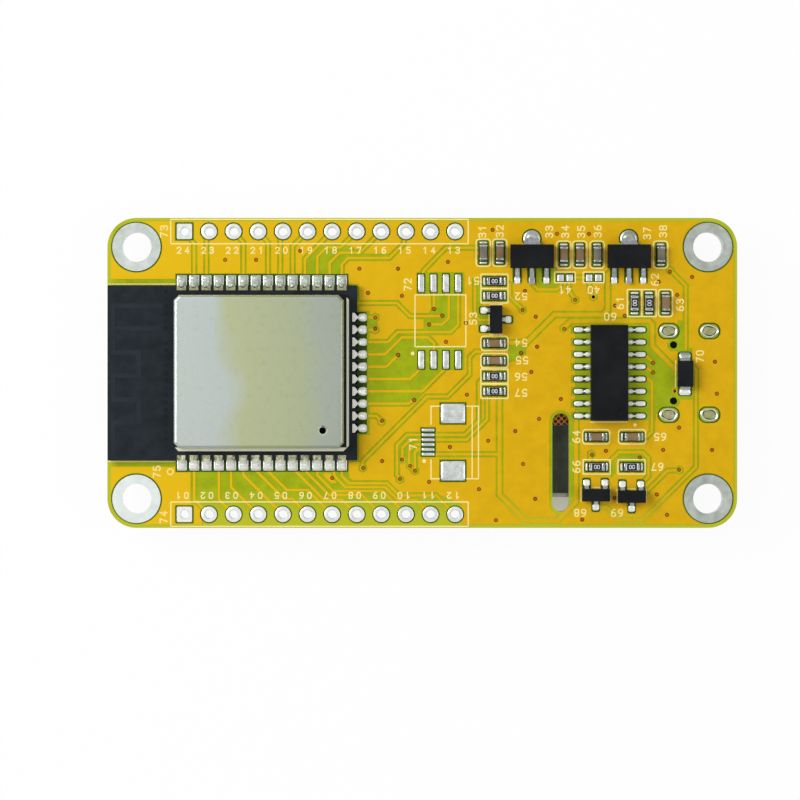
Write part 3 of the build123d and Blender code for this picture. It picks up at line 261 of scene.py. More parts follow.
def can_material():
    """Sheet metal painted lighter on the left and darker on the right in cloudy patches, as painted
    light and reflections; its skirt is painted dark shade, and pale right and below.
    """
    s = Shader("nickel_silver", Metallic=0.9)
    low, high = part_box("module_shield_can")
    # painted light and reflections: lighter on the left, darker on the right, in cloudy patches
    drift = s.grey(s.noise(90, 1.5, 0.4), -0.16, 0.16, 0.2, 0.8)
    share = s.math("ADD", s.grey(s.axis(0), 0.0, 1.0, low[0], high[0]), drift)
    painted_light_tone = s.ramp(share, (0.0, (206, 214, 208)), (0.3, (202, 212, 208)), (0.38, (196, 202, 158)),
                   (0.66, (188, 196, 160)), (0.8, (180, 190, 176)), (1.0, (176, 184, 168)))
    fine = s.noise(1500, 4, 0.7)
    colour = s.mix(s.grey(fine, 0.0, 0.35, 0.45, 0.75), painted_light_tone, srgb(158, 166, 150))
    # painted shade: the skirt below the step is dark, with pale right and lower edges
    step_top = low[2] + 0.55 * (high[2] - low[2])
    painted_skirt_shade = s.grey(s.axis(2), 1.0, 0.0, step_top - 0.15 * MM, step_top + 0.15 * MM)
    rim = s.math("MAXIMUM",
                 s.grey(s.axis(0), 0.0, 1.0, high[0] - 0.26 * MM, high[0] - 0.2 * MM),
                 s.grey(s.axis(1), 1.0, 0.0, low[1] + 0.34 * MM, low[1] + 0.42 * MM))
    shade = s.mix(rim, srgb(34, 36, 34), srgb(226, 228, 206))
    s.surface(Base_Color=s.mix(painted_skirt_shade, colour, shade), Roughness=s.grey(fine, 0.34, 0.5))
    s.bump(fine, 0.12, 0.02 * MM)
    return s.material


def glass_material():
    """Dark display face: a clear border round a slightly lighter active field."""
    s = Shader("display_glass", Roughness=0.06, Specular_IOR_Level=0.6)
    low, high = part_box("display_glass")
    inside = None
    for index, margin in ((0, 2.6), (1, 1.4)):
        middle = (low[index] + high[index]) / 2
        half = (high[index] - low[index]) / 2 - margin * MM
        away = s.math("ABSOLUTE", s.math("SUBTRACT", s.axis(index), middle))
        here = s.math("LESS_THAN", away, half)
        inside = here if inside is None else s.math("MULTIPLY", inside, here)
    s.surface(Base_Color=s.mix(inside, srgb(14, 15, 17), srgb(34, 38, 44)))
    s.bump(s.noise(9000, 1), 0.02, 0.005 * MM)
    return s.material


def flex_material():
    """Copper-hatched polyimide: small dark openings in a coppery sheet."""
    s = Shader("flex_hatch", Roughness=0.4, Metallic=0.35)
    pitch = 0.63 * MM
    dots = None
    for phase in (0.0, 0.5):
        parts = []
        for index in (0, 1):
            cell = s.math("FRACT", s.math("ADD", s.math("DIVIDE", s.axis(index), pitch), phase))
            parts.append(s.math("POWER", s.math("SUBTRACT", cell, 0.5), 2.0))
        distance = s.math("SQRT", s.math("ADD", parts[0], parts[1]))
        near = s.math("LESS_THAN", distance, 0.27)
        dots = near if dots is None else s.math("MAXIMUM", dots, near)
    s.surface(Base_Color=s.mix(dots, srgb(250, 162, 62), srgb(76, 22, 6)))
    return s.material


CAN = can_material()
GLASS = glass_material()
FLEX = flex_material()

FINISH = {
    "circuit_board": MASK_GREEN,
    "copper_layer": MASK_GOLD,
    "mounting_hole_plating": RING_TIN,
    "header_hole_plating": TIN,
    "surface_pads": TIN,
    "module_board": BLACK_MASK,
    "module_contact_lands": STAINED_GILT,
    "module_solder_joints": SOLDER,
    "module_shield_can": CAN,
    "clock_crystal": STEEL,
    "module_small_parts": CERAMIC,
    "usb_shell": STEEL,
    "usb_insulator": PLASTIC,
    "usb_contacts": GOLD,
    "display_backlight_tray": TRAY,
    "display_light_guide": GUIDE,
    "display_glass": GLASS,
    "display_flex": FLEX,
    "display_foam_tape": TAPE,
}


def finish_of(name):
    """A node's own finish, or that of its kind: black epoxy unless it says otherwise."""
    if name.endswith("_leads"):
        return LEAD
    kinds = {"capacitor": CERAMIC, "resistor": GLAZE}
    return FINISH.get(name) or kinds.get(name.split("_")[0], EPOXY)


for node_name, node_object in NODES.items():
    node_object.data.materials.clear()
    node_object.data.materials.append(finish_of(node_name))


# --- places, in millimetres
def box(name):
    """Lowest and highest corner of a CAD node."""
    low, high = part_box(name)
    return [c / MM for c in low], [c / MM for c in high]


UNDER, TOP = (corner[2] for corner in box("circuit_board"))
MASK_TOP = box("copper_layer")[1][2]
PAD_TOP = box("surface_pads")[1][2]
MODULE_LOW, MODULE_HIGH = box("module_board")
LAND_TOP = box("module_contact_lands")[1][2]
JOINT_LOW, JOINT_HIGH = box("module_solder_joints")
RING_LOW, RING_HIGH = box("header_hole_plating")

HEADER_COUNT = 12
HEADER_PITCH = 2.54
HEADER_RADIUS = 0.82
HEADER_BORE = 0.45
HEADER_X = [RING_LOW[0] + HEADER_RADIUS + i * HEADER_PITCH for i in range(HEADER_COUNT)]
HEADER_Y = RING_HIGH[1] - HEADER_RADIUS

# the USB shell's four slots, and the round tab opening of each regulator
TAB_X = (25.43, 29.63)
TAB_Y = 4.32
TAB_OFFSET = 0.62
TAB_RADIUS = 0.9
REGULATORS = ("voltage_regulator_1", "voltage_regulator_2")
REGULATOR_TOP = box(REGULATORS[0] + "_body")[1][1]

# the module's castellations: 14 on each long side and 10 on its right end
EDGE_PITCH = 1.27
SIDE_PADS = 14
END_PADS = 10
JOINT_REACH = JOINT_HIGH[0] - MODULE_HIGH[0]
JOINT_WIDTH = 0.95
SIDE_X = [JOINT_LOW[0] + JOINT_WIDTH / 2 + i * EDGE_PITCH for i in range(SIDE_PADS)]
END_Y = [(END_PADS - 1) / 2 * EDGE_PITCH - i * EDGE_PITCH for i in range(END_PADS)]

DIODE_REACH = 0.85  # solder past each end of the diode
MOUNT_RADIUS = 2.5  # plating round a corner hole
HALO = 0.1  # width of the painted shade of the mask round an opening
HALO_TOP = MASK_TOP + 0.006
STEP = 0.0015  # keeps crossing strokes out of one plane


def is_chip(name):
    """Whether a node is a chip capacitor or resistor."""
    return name.startswith(("capacitor", "resistor"))


def middle_of(low, high):
    """The middle of a box, seen from above."""
    return (low[0] + high[0]) / 2, (low[1] + high[1]) / 2


def laid(axis, along, across):
    """A point given along and across the x axis, 0, or the y axis, 1."""
    return (along, across) if axis == 0 else (across, along)


# --- mesh helpers
def added(name, data):
    """A new object in the scene."""
    made = bpy.data.objects.new(name, data)
    bpy.context.scene.collection.objects.link(made)
    return made


def mesh_from(name, bm):
    """A mesh of what bm holds, which is then freed."""
    mesh = bpy.data.meshes.new(name)
    bm.to_mesh(mesh)
    bm.free()
    return mesh


def piece(name, build, *materials, smooth=35, replaces=(), slot=None):
    """A mesh drawn in millimetres by build(bm), riding on the board."""
    bm = bmesh.new()
    build(bm)
    bmesh.ops.recalc_face_normals(bm, faces=bm.faces)
    bmesh.ops.scale(bm, vec=(MM, MM, MM), verts=bm.verts)
    mesh = mesh_from(name, bm)
    for material in materials:
        mesh.materials.append(material)
    if smooth:
        mesh.polygons.foreach_set("use_smooth", [True] * len(mesh.polygons))
        mesh.set_sharp_from_angle(angle=math.radians(smooth))
    made = added(name, mesh)
    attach(made, "root")
    if replaces:
        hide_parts(*replaces)


def prism(bm, outline, low, high, slot=0):
    """A closed upright prism over a list of corner points."""
    bottom = [bm.verts.new((x, y, low)) for x, y in outline]
    top = [bm.verts.new((x, y, high)) for x, y in outline]
    count = len(outline)
    faces = [bm.faces.new(bottom[::-1]), bm.faces.new(top)]
    for i in range(count):
        j = (i + 1) % count
        faces.append(bm.faces.new((bottom[i], bottom[j], top[j], top[i])))
    for face in faces:
        face.material_index = slot


def loft(bm, rows, closed, slot=0):
    """Joins rows of four corners to a ring, or to a bar with two ends."""
    for a, b in zip(rows, rows[1:] + rows[:1] if closed else rows[1:]):
        for i, j in ((0, 1), (1, 3), (3, 2), (2, 0)):
            bm.faces.new((a[i], a[j], b[j], b[i])).material_index = slot
    if not closed:
        for end in (rows[0], rows[-1]):
            bm.faces.new((end[0], end[1], end[3], end[2])).material_index = slot


def stroke(bm, points, width, low, high, closed=False, slot=0):
    """A flat line of one width with mitred corners."""
    points = [Vector(p) for p in points]
    count = len(points)
    rows = []
    for i, here in enumerate(points):
        before = points[i - 1] if closed or i else None
        after = points[(i + 1) % count] if closed or i < count - 1 else None
        into = (here - before).normalized() if before is not None else None
        out = (after - here).normalized() if after is not None else None
        into, out = into or out, out or into
        mean = (into + out).normalized()
        side = Vector((-mean.y, mean.x))
        reach = width / 2 / max(0.45, mean.dot(out))
        place = here
        if before is None:
            place = here - out * width / 2
        elif after is None:
            place = here + into * width / 2
        left, right = place + side * reach, place - side * reach
        rows.append([bm.verts.new((p.x, p.y, z)) for z in (low, high) for p in (left, right)])
    loft(bm, rows, closed, slot)


def holed_plate(bm, centre, inner, reach, low, high, sides):
    """A rectangular plate, reaching so far in x and y, with a round opening."""
    rows = []
    for k in range(sides):
        angle = 2 * math.pi * (k + 0.5) / sides
        c, s = math.cos(angle), math.sin(angle)
        outer = min(reach[0] / abs(c), reach[1] / abs(s))
        rows.append([bm.verts.new((centre[0] + r * c, centre[1] + r * s, z))
                     for r in (inner, outer) for z in (low, high)])
    loft(bm, rows, closed=True)


def lathe(bm, centre, profile, sides=24, stretch=(1, 1), slot=0, wobble=0.0):
    """Turns closed (radius, height) points round an upright axis, out of round by wobble."""
    rings = []
    phases = [random.uniform(0, 2 * math.pi) for _ in range(3)] if wobble else ()
    for base_radius, height in profile:
        ring = []
        for k in range(sides):
            angle = 2 * math.pi * k / sides
            wave = sum(math.sin((2 + i) * angle + phase) for i, phase in enumerate(phases))
            radius = base_radius * (1 + wobble * wave)
            ring.append(bm.verts.new((centre[0] + radius * stretch[0] * math.cos(angle),
                                      centre[1] + radius * stretch[1] * math.sin(angle),
                                      height)))
        rings.append(ring)
    for a, b in zip(rings, rings[1:] + rings[:1]):
        for k in range(sides):
            n = (k + 1) % sides
            bm.faces.new((a[k], a[n], b[n], b[k])).material_index = slot


def knots(*points):
    """A smooth function through (share, half width, height) points."""
    def at(share):
        for (s0, *a), (s1, *b) in zip(points, points[1:]):
            if share <= s1:
                t = (share - s0) / (s1 - s0)
                t = t * t * (3 - 2 * t)
                return [p + (q - p) * t for p, q in zip(a, b)]
        return list(points[-1][1:])
    return at


def drop(bm, start, heading, length, shape, base, slices=10, across=8, rough=0.0, slot=0):
    """A drop of solder along a heading: shape(share) gives its half width and height."""
    heading = Vector(heading).normalized()
    rows = []
    for i in range(slices + 1):
        share = i / slices
        half, height = shape(share)
        middle = Vector(start) + heading * length * share
        row = []
        for j in range(across + 1):
            angle = math.pi * j / across
            off = -half * math.cos(angle)
            rise = height * math.sin(angle) ** 0.5
            if rough and 0 < j < across:
                rise += random.uniform(-rough, rough) * height
            row.append(bm.verts.new((middle.x - heading.y * off, middle.y + heading.x * off,
                                     base + max(0.0, rise))))
        rows.append(row)
    for a, b in zip(rows, rows[1:]):
        for j in range(across):
            bm.faces.new((a[j], a[j + 1], b[j + 1], b[j])).material_index = slot
        bm.faces.new((a[0], b[0], b[-1], a[-1])).material_index = slot
    for end in (rows[0], rows[-1]):
        bm.faces.new(end).material_index = slot


def brick(bm, low, high, bevel, slot=0, segments=2):
    """A box with rounded edges."""
    made = bmesh.ops.create_cube(bm, size=1.0)["verts"]
    for vert in made:
        for axis in range(3):
            middle = (low[axis] + high[axis]) / 2
            vert.co[axis] = middle + vert.co[axis] * (high[axis] - low[axis])
    edges = list(dict.fromkeys(edge for vert in made for edge in vert.link_edges))
    for vert in made:
        for face in vert.link_faces:
            face.material_index = slot
    done = bmesh.ops.bevel(bm, geom=edges, offset=bevel, segments=segments, profile=0.5,
                           affect="EDGES")
    for face in done["faces"]:
        face.material_index = slot


def rounded(x0, y0, x1, y1, radius, steps=4):
    """Corner points of a rectangle with rounded corners."""
    points = []
    for cx, cy, start in ((x1 - radius, y1 - radius, 0), (x0 + radius, y1 - radius, 90),
                          (x0 + radius, y0 + radius, 180), (x1 - radius, y0 + radius, 270)):
        for k in range(steps + 1):
            angle = math.radians(start + 90 * k / steps)
            points.append((cx + radius * math.cos(angle), cy + radius * math.sin(angle)))
    return points


def around(low, high, grow_x, grow_y, radius, steps=4):
    """Corner points of a rounded rectangle round a box."""
    return rounded(low[0] - grow_x, low[1] - grow_y, high[0] + grow_x, high[1] + grow_y, radius,
                   steps)


# --- plated holes and vias
def header_eyelets(bm):
    """Turned eyelets of both header rows, the first of each row on a square pad."""
    lip = PAD_TOP - TOP
    square = HEADER_RADIUS - 0.03
    for side in (-1, 1):
        for i, x in enumerate(HEADER_X):
            outer = HEADER_RADIUS - 0.01 if i else HEADER_BORE + 0.16
            half = [(HEADER_BORE, lip * 0.2), (HEADER_BORE + 0.05, lip), (outer - 0.06, lip),
                    (outer, lip * 0.5), (outer, -0.03), (HEADER_BORE + 0.04, -0.03)]
            upper = [(radius, TOP + rise) for radius, rise in half]
            lower = [(radius, UNDER - rise) for radius, rise in reversed(half)]
            lathe(bm, (x, side * HEADER_Y), upper + lower, 32)
            if i:
                continue
            for low, high in ((TOP - 0.03, TOP + lip), (UNDER - lip, UNDER + 0.03)):
                holed_plate(bm, (x, side * HEADER_Y), HEADER_BORE + 0.1, (square, square), low,
                            high, 32)


VIAS = [
    (-20.35, 11.67), (-17.15, 11.67), (-12.6, 12.6), (-6.5, 10.75), (-2.5, 10.75), (2.65, 11.45),
    (-5.6, 8.25), (-2.1, 7.95), (1.2, 6.6), (2.05, 5.9), (0.7, 5.0), (2.45, 3.2), (4.5, 5.15),
    (-4.85, 5.7), (-4.85, 4.55), (-2.5, 1.85), (-0.85, -2.8), (4.6, -2.25), (-4.15, -4.95),
    (-4.15, -9.1), (-6.1, -9.8), (-9.3, -10.85), (-2.1, -8.95), (-1.25, -9.6), (-0.75, -10.1),
    (-2.3, -10.95), (2.85, -7.65), (0.7, -11.25), (5.85, -12.0), (7.25, 14.75), (13.9, 14.35),
    (17.2, 14.35), (10.6, 8.45), (11.7, 5.8), (15.77, 7.55), (10.35, 6.5), (14.65, 4.55),
    (10.2, 2.05), (11.85, 2.7), (11.25, 0.1), (19.9, 6.95), (20.9, 5.9), (24.4, 9.4), (23.8, 1.05),
    (23.8, 0.05), (9.6, -6.0), (6.8, -7.0), (12.05, -4.75), (14.3, -2.7), (10.4, -9.4),
    (11.65, -13.0), (7.6, -15.2), (16.5, -15.15), (17.5, -8.45), (18.95, -8.05), (22.45, -8.75),
    (19.85, -12.9), (24.2, -12.55), (25.55, 10.45), (27.85, 9.9), (26.3, 8.05), (30.2, 1.15),
    (30.4, -2.15), (26.5, -5.65), (24.85, -7.95), (29.9, -7.95), (26.5, -10.0), (25.25, -14.65),
]
VIA_RADIUS = 0.23


def tented_vias(bm):
    """Small dished rings where the mask sinks into a plated hole."""
    base = MASK_TOP - 0.01
    shares = (1, -0.01), (0.94, 0.008), (0.72, 0.018), (0.55, 0.01), (0.42, 0.004), (0.42, -0.01)
    ring = [(VIA_RADIUS * share, MASK_TOP + rise) for share, rise in shares]
    dish = [(VIA_RADIUS * 0.46, base), (VIA_RADIUS * 0.46, MASK_TOP + 0.004),
            (0.01, MASK_TOP + 0.003), (0.01, base)]
    for place in VIAS:
        lathe(bm, place, ring, 16)
        lathe(bm, place, dish, 12, slot=1)


# --- mask openings
def islands(name):
    """Boxes, in millimetres, round each separate lump of a CAD node."""
    mesh = NODES[name].data
    parent = {}

    def root(key):
        while parent.setdefault(key, key) != key:
            parent[key] = parent[parent[key]]
            key = parent[key]
        return key

    keys = [tuple(round(c / MM, 4) for c in vert.co) for vert in mesh.vertices]
    for polygon in mesh.polygons:
        first = root(keys[polygon.vertices[0]])
        for index in polygon.vertices[1:]:
            parent[root(keys[index])] = first
    lumps = {}
    for key in set(keys):
        lumps.setdefault(root(key), []).append(key)
    return sorted(([min(axis) for axis in zip(*points)], [max(axis) for axis in zip(*points)])
                  for points in lumps.values())


PADS = [(low, high) for low, high in islands("surface_pads") if high[2] > TOP]


def beside(name, point, reach):
    """Whether a point is within reach of a node's box, seen from above."""
    low, high = box(name)
    return all(low[k] - reach < point[k] < high[k] + reach for k in (0, 1))


def pad_kind(low, high):
    """What a pad carries, told from its size and place."""
    area = (high[0] - low[0]) * (high[1] - low[1])
    middle = middle_of(low, high)
    if low[0] > TAB_X[0] - 1.2 and abs(abs(middle[1]) - TAB_Y) < 0.5:
        return "tab"
    if middle[1] > HEADER_Y - 1.5 and area > 2.4:
        return "regulator"
    if abs(middle[0] - MODULE_HIGH[0]) < 1.2 and abs(middle[1]) < END_Y[0] + 0.5:
        return "module_end"
    if beside("rectifier_diode_leads", middle, 0.7):
        return "diode"
    if beside("usb_serial_chip_leads", middle, 0.7):
        return "serial"
    for name in NODES:
        if name.endswith("_leads") and beside(name, middle, 0.7):
            return "lead"
        if is_chip(name) and beside(name, middle, 0.5):
            return "chip"
    return "plain"


def pad_plates(bm):
    """Each empty pad with the slightly domed coat of hot tin, and the rings on the underside."""
    for low, high in PADS:
        if pad_kind(low, high) != "plain":
            continue
        axis = 0 if high[0] - low[0] > high[1] - low[1] else 1
        half = (high[1 - axis] - low[1 - axis]) / 2
        start = laid(axis, low[axis] + 0.01, middle_of(low, high)[1 - axis])
        bulge = PAD_TOP - TOP + 0.02 + min(0.05, half * 0.12)
        coat = knots((0, half * 0.9, 0.03), (0.08, half, bulge), (0.92, half, bulge),
                     (1, half * 0.9, 0.03))
        drop(bm, start, laid(axis, 1, 0), high[axis] - low[axis] - 0.02, coat, TOP, 12, 10)
    for low, high in islands("surface_pads"):
        if high[2] < TOP:
            reach = (high[0] - low[0]) / 2, (high[1] - low[1]) / 2
            plate = [(1.0, high[2]), (0.98, low[2] + 0.005), (0.9, low[2]), (0.62, low[2]),
                     (0.62, high[2])]
            lathe(bm, middle_of(low, high), plate, 40, reach)


def serial_rows():
    """Each lead of the serial chip: its height on the board, side, tip and root."""
    low, high = box("usb_serial_chip_leads")
    body_low, body_high = box("usb_serial_chip_body")
    middle = middle_of(low, high)[1]
    for i in range(8):
        y = middle + (i - 3.5) * EDGE_PITCH
        yield y, 1, low[0] - 0.6, body_low[0]
        yield y, -1, high[0] + 0.8, body_high[0]


def halo(bm, x, y, radius, steps, square=False):
    """Painted shade at the edge of the mask round a ring or a square pad."""
    reach = radius + HALO / 2
    outline = rounded(x - reach, y - reach, x + reach, y + reach,
                      0.06 if square else reach - 0.001, steps)
    stroke(bm, outline, HALO, TOP, HALO_TOP, closed=True)


def mask_openings(bm):
    """The shadowed edge of the mask round every pad and ring."""
    for low, high in PADS:
        kind = pad_kind(low, high)
        if kind in ("regulator", "chip", "module_end", "serial", "diode"):
            continue
        narrow = min(high[0] - low[0], high[1] - low[1])
        radius = {"tab": narrow / 2 - 0.001, "lead": narrow * 0.35}.get(kind, 0.06)
        grow = HALO * (1 if kind == "lead" else 0.5) + 0.01
        outline = around(low, high, grow, grow, radius, 6)
        if kind == "lead":
            prism(bm, outline, TOP, HALO_TOP)
        else:
            stroke(bm, outline, HALO, TOP, HALO_TOP, closed=True)
    # painted shade round each chip, the diode, the serial chip's leads and the module's end
    for name in filter(is_chip, NODES):
        low, high = box(name)
        tall = high[1] - low[1] > high[0] - low[0]
        prism(bm, around(low, high, *laid(int(tall), 0.46, 0.13), 0.15), TOP, HALO_TOP)
    low, high = box("rectifier_diode_body")
    x = middle_of(low, high)[0]
    prism(bm, around((x, low[1]), (x, high[1]), 0.72, DIODE_REACH + 0.1, 0.3, 6), TOP, HALO_TOP)
    for y, side, start, root in serial_rows():
        tip = start - side * 0.13
        prism(bm, rounded(min(tip, root), y - 0.37, max(tip, root), y + 0.37, 0.36, 6), TOP,
              HALO_TOP)
    edge = MODULE_HIGH[0]
    prism(bm, rounded(edge - 0.1, END_Y[-1] - 0.56, edge + JOINT_REACH - 0.12, END_Y[0] + 0.56,
                      0.2, 4), TOP, HALO_TOP)
    for side in (-1, 1):
        for i, x in enumerate(HEADER_X):
            halo(bm, x, side * HEADER_Y, HEADER_RADIUS, 8, square=i == 0)
    low, high = box("mounting_hole_plating")
    for x in (low[0] + MOUNT_RADIUS, high[0] - MOUNT_RADIUS):
        for y in (low[1] + MOUNT_RADIUS, high[1] - MOUNT_RADIUS):
            halo(bm, x, y, MOUNT_RADIUS, 14)


def tab_openings(bm):
    """Mask that leaves only a round opening over each regulator's tab pad."""
    margin = 0.24
    for low, high in PADS:
        if pad_kind(low, high) == "regulator":
            y = REGULATOR_TOP + TAB_OFFSET
            reach = (high[0] - low[0]) / 2 + margin, high[1] + margin - y
            holed_plate(bm, ((low[0] + high[0]) / 2, y), TAB_RADIUS + 0.06, reach, TOP,
                        MASK_TOP - STEP, 48)


def tab_halos(bm):
    """The shadowed edge of each round tab opening."""
    reach = TAB_RADIUS + 0.07
    for name in REGULATORS:
        low, high = box(name + "_body")
        x, y = (low[0] + high[0]) / 2, high[1] + TAB_OFFSET
        arc = [(x + reach * math.cos(a), y + reach * math.sin(a))
               for a in (math.radians(-40 + 260 * k / 24) for k in range(25))]
        stroke(bm, arc, 0.12, TOP, HALO_TOP)


# --- solder
def module_joints(bm):
    """Solder from the module's edge pads down to the board, dull and a little uneven."""
    rise = MODULE_HIGH[2] - PAD_TOP + 0.03
    side_shape = knots((0, 0.38, rise), (0.12, 0.4, rise), (0.45, 0.41, rise * 0.55),
                       (0.8, 0.41, rise * 0.34), (1, 0.34, 0.03))
    for side in (-1, 1):
        edge = side * MODULE_HIGH[1]
        for x in SIDE_X:
            drop(bm, (x, edge - side * 0.12), (0, side), JOINT_REACH + 0.1, side_shape, PAD_TOP,
                 12, 10, rough=0.09, slot=1 if side > 0 else 0)
    for y in END_Y:
        wide = random.uniform(0.4, 0.47)
        end_shape = knots((0, 0.12, rise), (0.12, 0.15, rise * 0.9), (0.34, wide * 0.9, rise * 0.7),
                          (0.5, wide, rise * 0.6), (0.8, wide, rise * 0.5),
                          (0.94, wide * 0.75, rise * 0.3), (1, 0.2, 0.04))
        drop(bm, (MODULE_HIGH[0] - 0.14, y), (1, 0), JOINT_REACH + 0.06, end_shape, PAD_TOP,
             18, 12, rough=0.07)


def waisted_land(bm, x, y, turn, reach, half, waist, flank, slot=0):
    """A tinned land that narrows to a waist at its outer edge, where the half hole is."""
    spin = Matrix.Rotation(math.radians(turn), 2)
    side = [(-reach, half), (-reach * 0.5, half * 0.94), (-reach * 0.2, flank), (0.02, waist)]
    land = side + [(along, -across) for along, across in reversed(side)]
    back, wide = -reach - 0.02, half + 0.04
    # painted shade: a black sheet under each land, showing round its edge and at its waist
    dark = [(back, -wide), (0.0, -wide), (0.0, wide), (back, wide)]
    for outline, low, high, land_or_shade_slot in ((land[::-1], -0.01, 0.04, slot), (dark, -0.02, 0.01, 1)):
        placed = [spin @ Vector(point) + Vector((x, y)) for point in outline]
        prism(bm, placed, LAND_TOP + low, LAND_TOP + high, land_or_shade_slot)


def tinned_lands(bm):
    """Tinned lands on the module's right and lower edges."""
    for y in END_Y:
        waisted_land(bm, MODULE_HIGH[0], y, 0, 0.5, 0.46, 0.13, 0.24)
    for x in SIDE_X:
        waisted_land(bm, x, MODULE_LOW[1], -90, 0.52, 0.42, 0.36, 0.4, 2)


def antenna(bm):
    """The aerial's meander and its fence of small holes, under the module's black mask."""
    left, deep = MODULE_LOW[0] + 0.55, MODULE_LOW[0] + 3.2
    fence = MODULE_LOW[0] + 6.0
    top = MODULE_HIGH[2]
    bends = [(fence - 0.5, 6.9), (left, 6.9), (left, 2.1), (deep, 2.1), (deep, -0.3), (left, -0.3),
             (left, -2.75), (deep, -2.75), (deep, -5.1), (left, -5.1), (left, -8.3)]
    for line in (bends, [(fence - 0.5, 4.6), (left + 0.5, 4.6)]):
        stroke(bm, line, 0.5, top - 0.01, top + 0.02)
    fence_top, fence_pitch, holes, gap = 8.35, 0.76, 23, 6
    ring = [(0.09, top - 0.005), (0.09, top + 0.015), (0.17, top + 0.02), (0.2, top - 0.005)]
    for i in range(holes):
        if i != gap:
            lathe(bm, (fence, fence_top - i * fence_pitch), ring, 14, slot=1)


def vent_rim(bm):
    """The coined rim of the can's vent hole."""
    low, high = box("module_shield_can")
    top = high[2]
    lathe(bm, (high[0] - 2.65, low[1] + 2.13),
          [(0.36, top - 0.15), (0.36, top - 0.004), (0.4, top), (0.5, top), (0.56, top - 0.01),
           (0.56, top - 0.15)], 28)


def serial_feet(bm):
    """A long foot, a narrow neck and a round knee at each lead of the serial chip."""
    foot = knots((0, 0.14, 0.06), (0.07, 0.25, 0.16), (0.3, 0.27, 0.2), (0.5, 0.24, 0.2),
                 (0.6, 0.1, 0.16), (0.67, 0.1, 0.2), (0.77, 0.25, 0.42), (0.9, 0.26, 0.46),
                 (1, 0.2, 0.46))
    for y, side, start, root in serial_rows():
        drop(bm, (start, y), (side, 0), abs(root - start) + 0.02, foot, TOP + 0.01, 26, 10,
             rough=0.03)


def transistor_feet(bm):
    """Solder over the two leads on one side of each transistor and the single one opposite."""
    toe = knots((0, 0.22, 0.05), (0.12, 0.35, 0.18), (0.5, 0.37, 0.24), (0.66, 0.32, 0.26),
                (0.76, 0.19, 0.3), (1, 0.21, 0.42))
    spread = reach = 0.95
    for name, pair in (("transistor_1", -1), ("transistor_2", 1), ("transistor_3", 1)):
        low, high = box(name + "_body")
        middle = middle_of(low, high)
        axis = 0 if high[1] - low[1] > high[0] - low[0] else 1
        half = (high[axis] - low[axis]) / 2
        for across, side in ((-spread, pair), (spread, pair), (0, -pair)):
            start = laid(axis, middle[axis] + side * (half + reach), middle[1 - axis] + across)
            drop(bm, start, laid(axis, -side, 0), 0.92, toe, PAD_TOP, 16, rough=0.05)


def regulator_feet(bm):
    """Solder over each regulator's three leads, and the domed tin on its tab."""
    heel = knots((0, 0.22, 0.05), (0.08, 0.31, 0.18), (0.34, 0.32, 0.22), (0.55, 0.2, 0.26),
                 (1, 0.19, 0.42))
    dome = [(TAB_RADIUS, TOP), (TAB_RADIUS - 0.03, PAD_TOP + 0.06), (0.74, PAD_TOP + 0.12),
            (0.62, PAD_TOP + 0.06), (0.54, PAD_TOP + 0.2), (0.36, PAD_TOP + 0.28),
            (0.2, PAD_TOP + 0.24), (0.01, PAD_TOP + 0.22), (0.01, TOP)]
    for name in REGULATORS:
        low, high = box(name + "_body")
        foot = box(name + "_leads")[0][1]
        x = middle_of(low, high)[0]
        for across in (-1.5, 0, 1.5):
            drop(bm, (x + across, foot - 0.04), (0, 1), low[1] - foot, heel, PAD_TOP, 16,
                 rough=0.05)
        lathe(bm, (x, high[1] + TAB_OFFSET), dome, 32, slot=1)


def diode_feet(bm):
    """Solder at both ends of the diode."""
    wide = knots((0, 0.5, 0.06), (0.3, 0.62, 0.2), (0.65, 0.55, 0.26), (1, 0.5, 0.4))
    low, high = box("rectifier_diode_body")
    for start, heading, slot in ((high[1] + DIODE_REACH, -1, 1), (low[1] - DIODE_REACH, 1, 0)):
        drop(bm, (middle_of(low, high)[0], start), (0, heading), DIODE_REACH, wide, PAD_TOP, 10,
             10, rough=0.06, slot=slot)


def small_feet(bm):
    """Solder over the leads of the transistors, regulators and diode."""
    transistor_feet(bm)
    regulator_feet(bm)
    diode_feet(bm)


def socket_solder(bm):
    """Solder standing in the USB shell's four slots: a bright ring round a flux-tinted crown."""
    ring = [(0.68, TOP), (0.66, PAD_TOP + 0.05), (0.6, PAD_TOP + 0.09), (0.53, PAD_TOP + 0.05),
            (0.51, TOP)]
    crown = [(0.46, TOP), (0.42, PAD_TOP + 0.04), (0.2, PAD_TOP + 0.09), (0.01, PAD_TOP + 0.1),
             (0.01, TOP)]
    # painted shade: a dark disc that shows between the crown and the ring
    moat = [(0.52, TOP), (0.52, PAD_TOP + 0.01), (0.01, PAD_TOP + 0.01), (0.01, TOP)]
    for x in TAB_X:
        for y in (-TAB_Y, TAB_Y):
            lathe(bm, (x, y), ring, 32, (1.36, 1), 0, wobble=0.035)
            lathe(bm, (x, y), crown, 32, (1.5, 1), 1, wobble=0.05)
            lathe(bm, (x, y), moat, 32, (1.36, 1), 2)


# --- chip capacitors and resistors
GREY_CHIPS = ("capacitor_1", "capacitor_2", "capacitor_5")
WRAP = 0.25  # length of a chip's metal ends


def shrunk(low, high, axis, along, across, down=0.0):
    """A box drawn in by so much along an axis, across it and in height."""
    margins = [across, across, down]
    margins[axis] = along
    return ([p + m for p, m in zip(low, margins)], [p - m for p, m in zip(high, margins)])


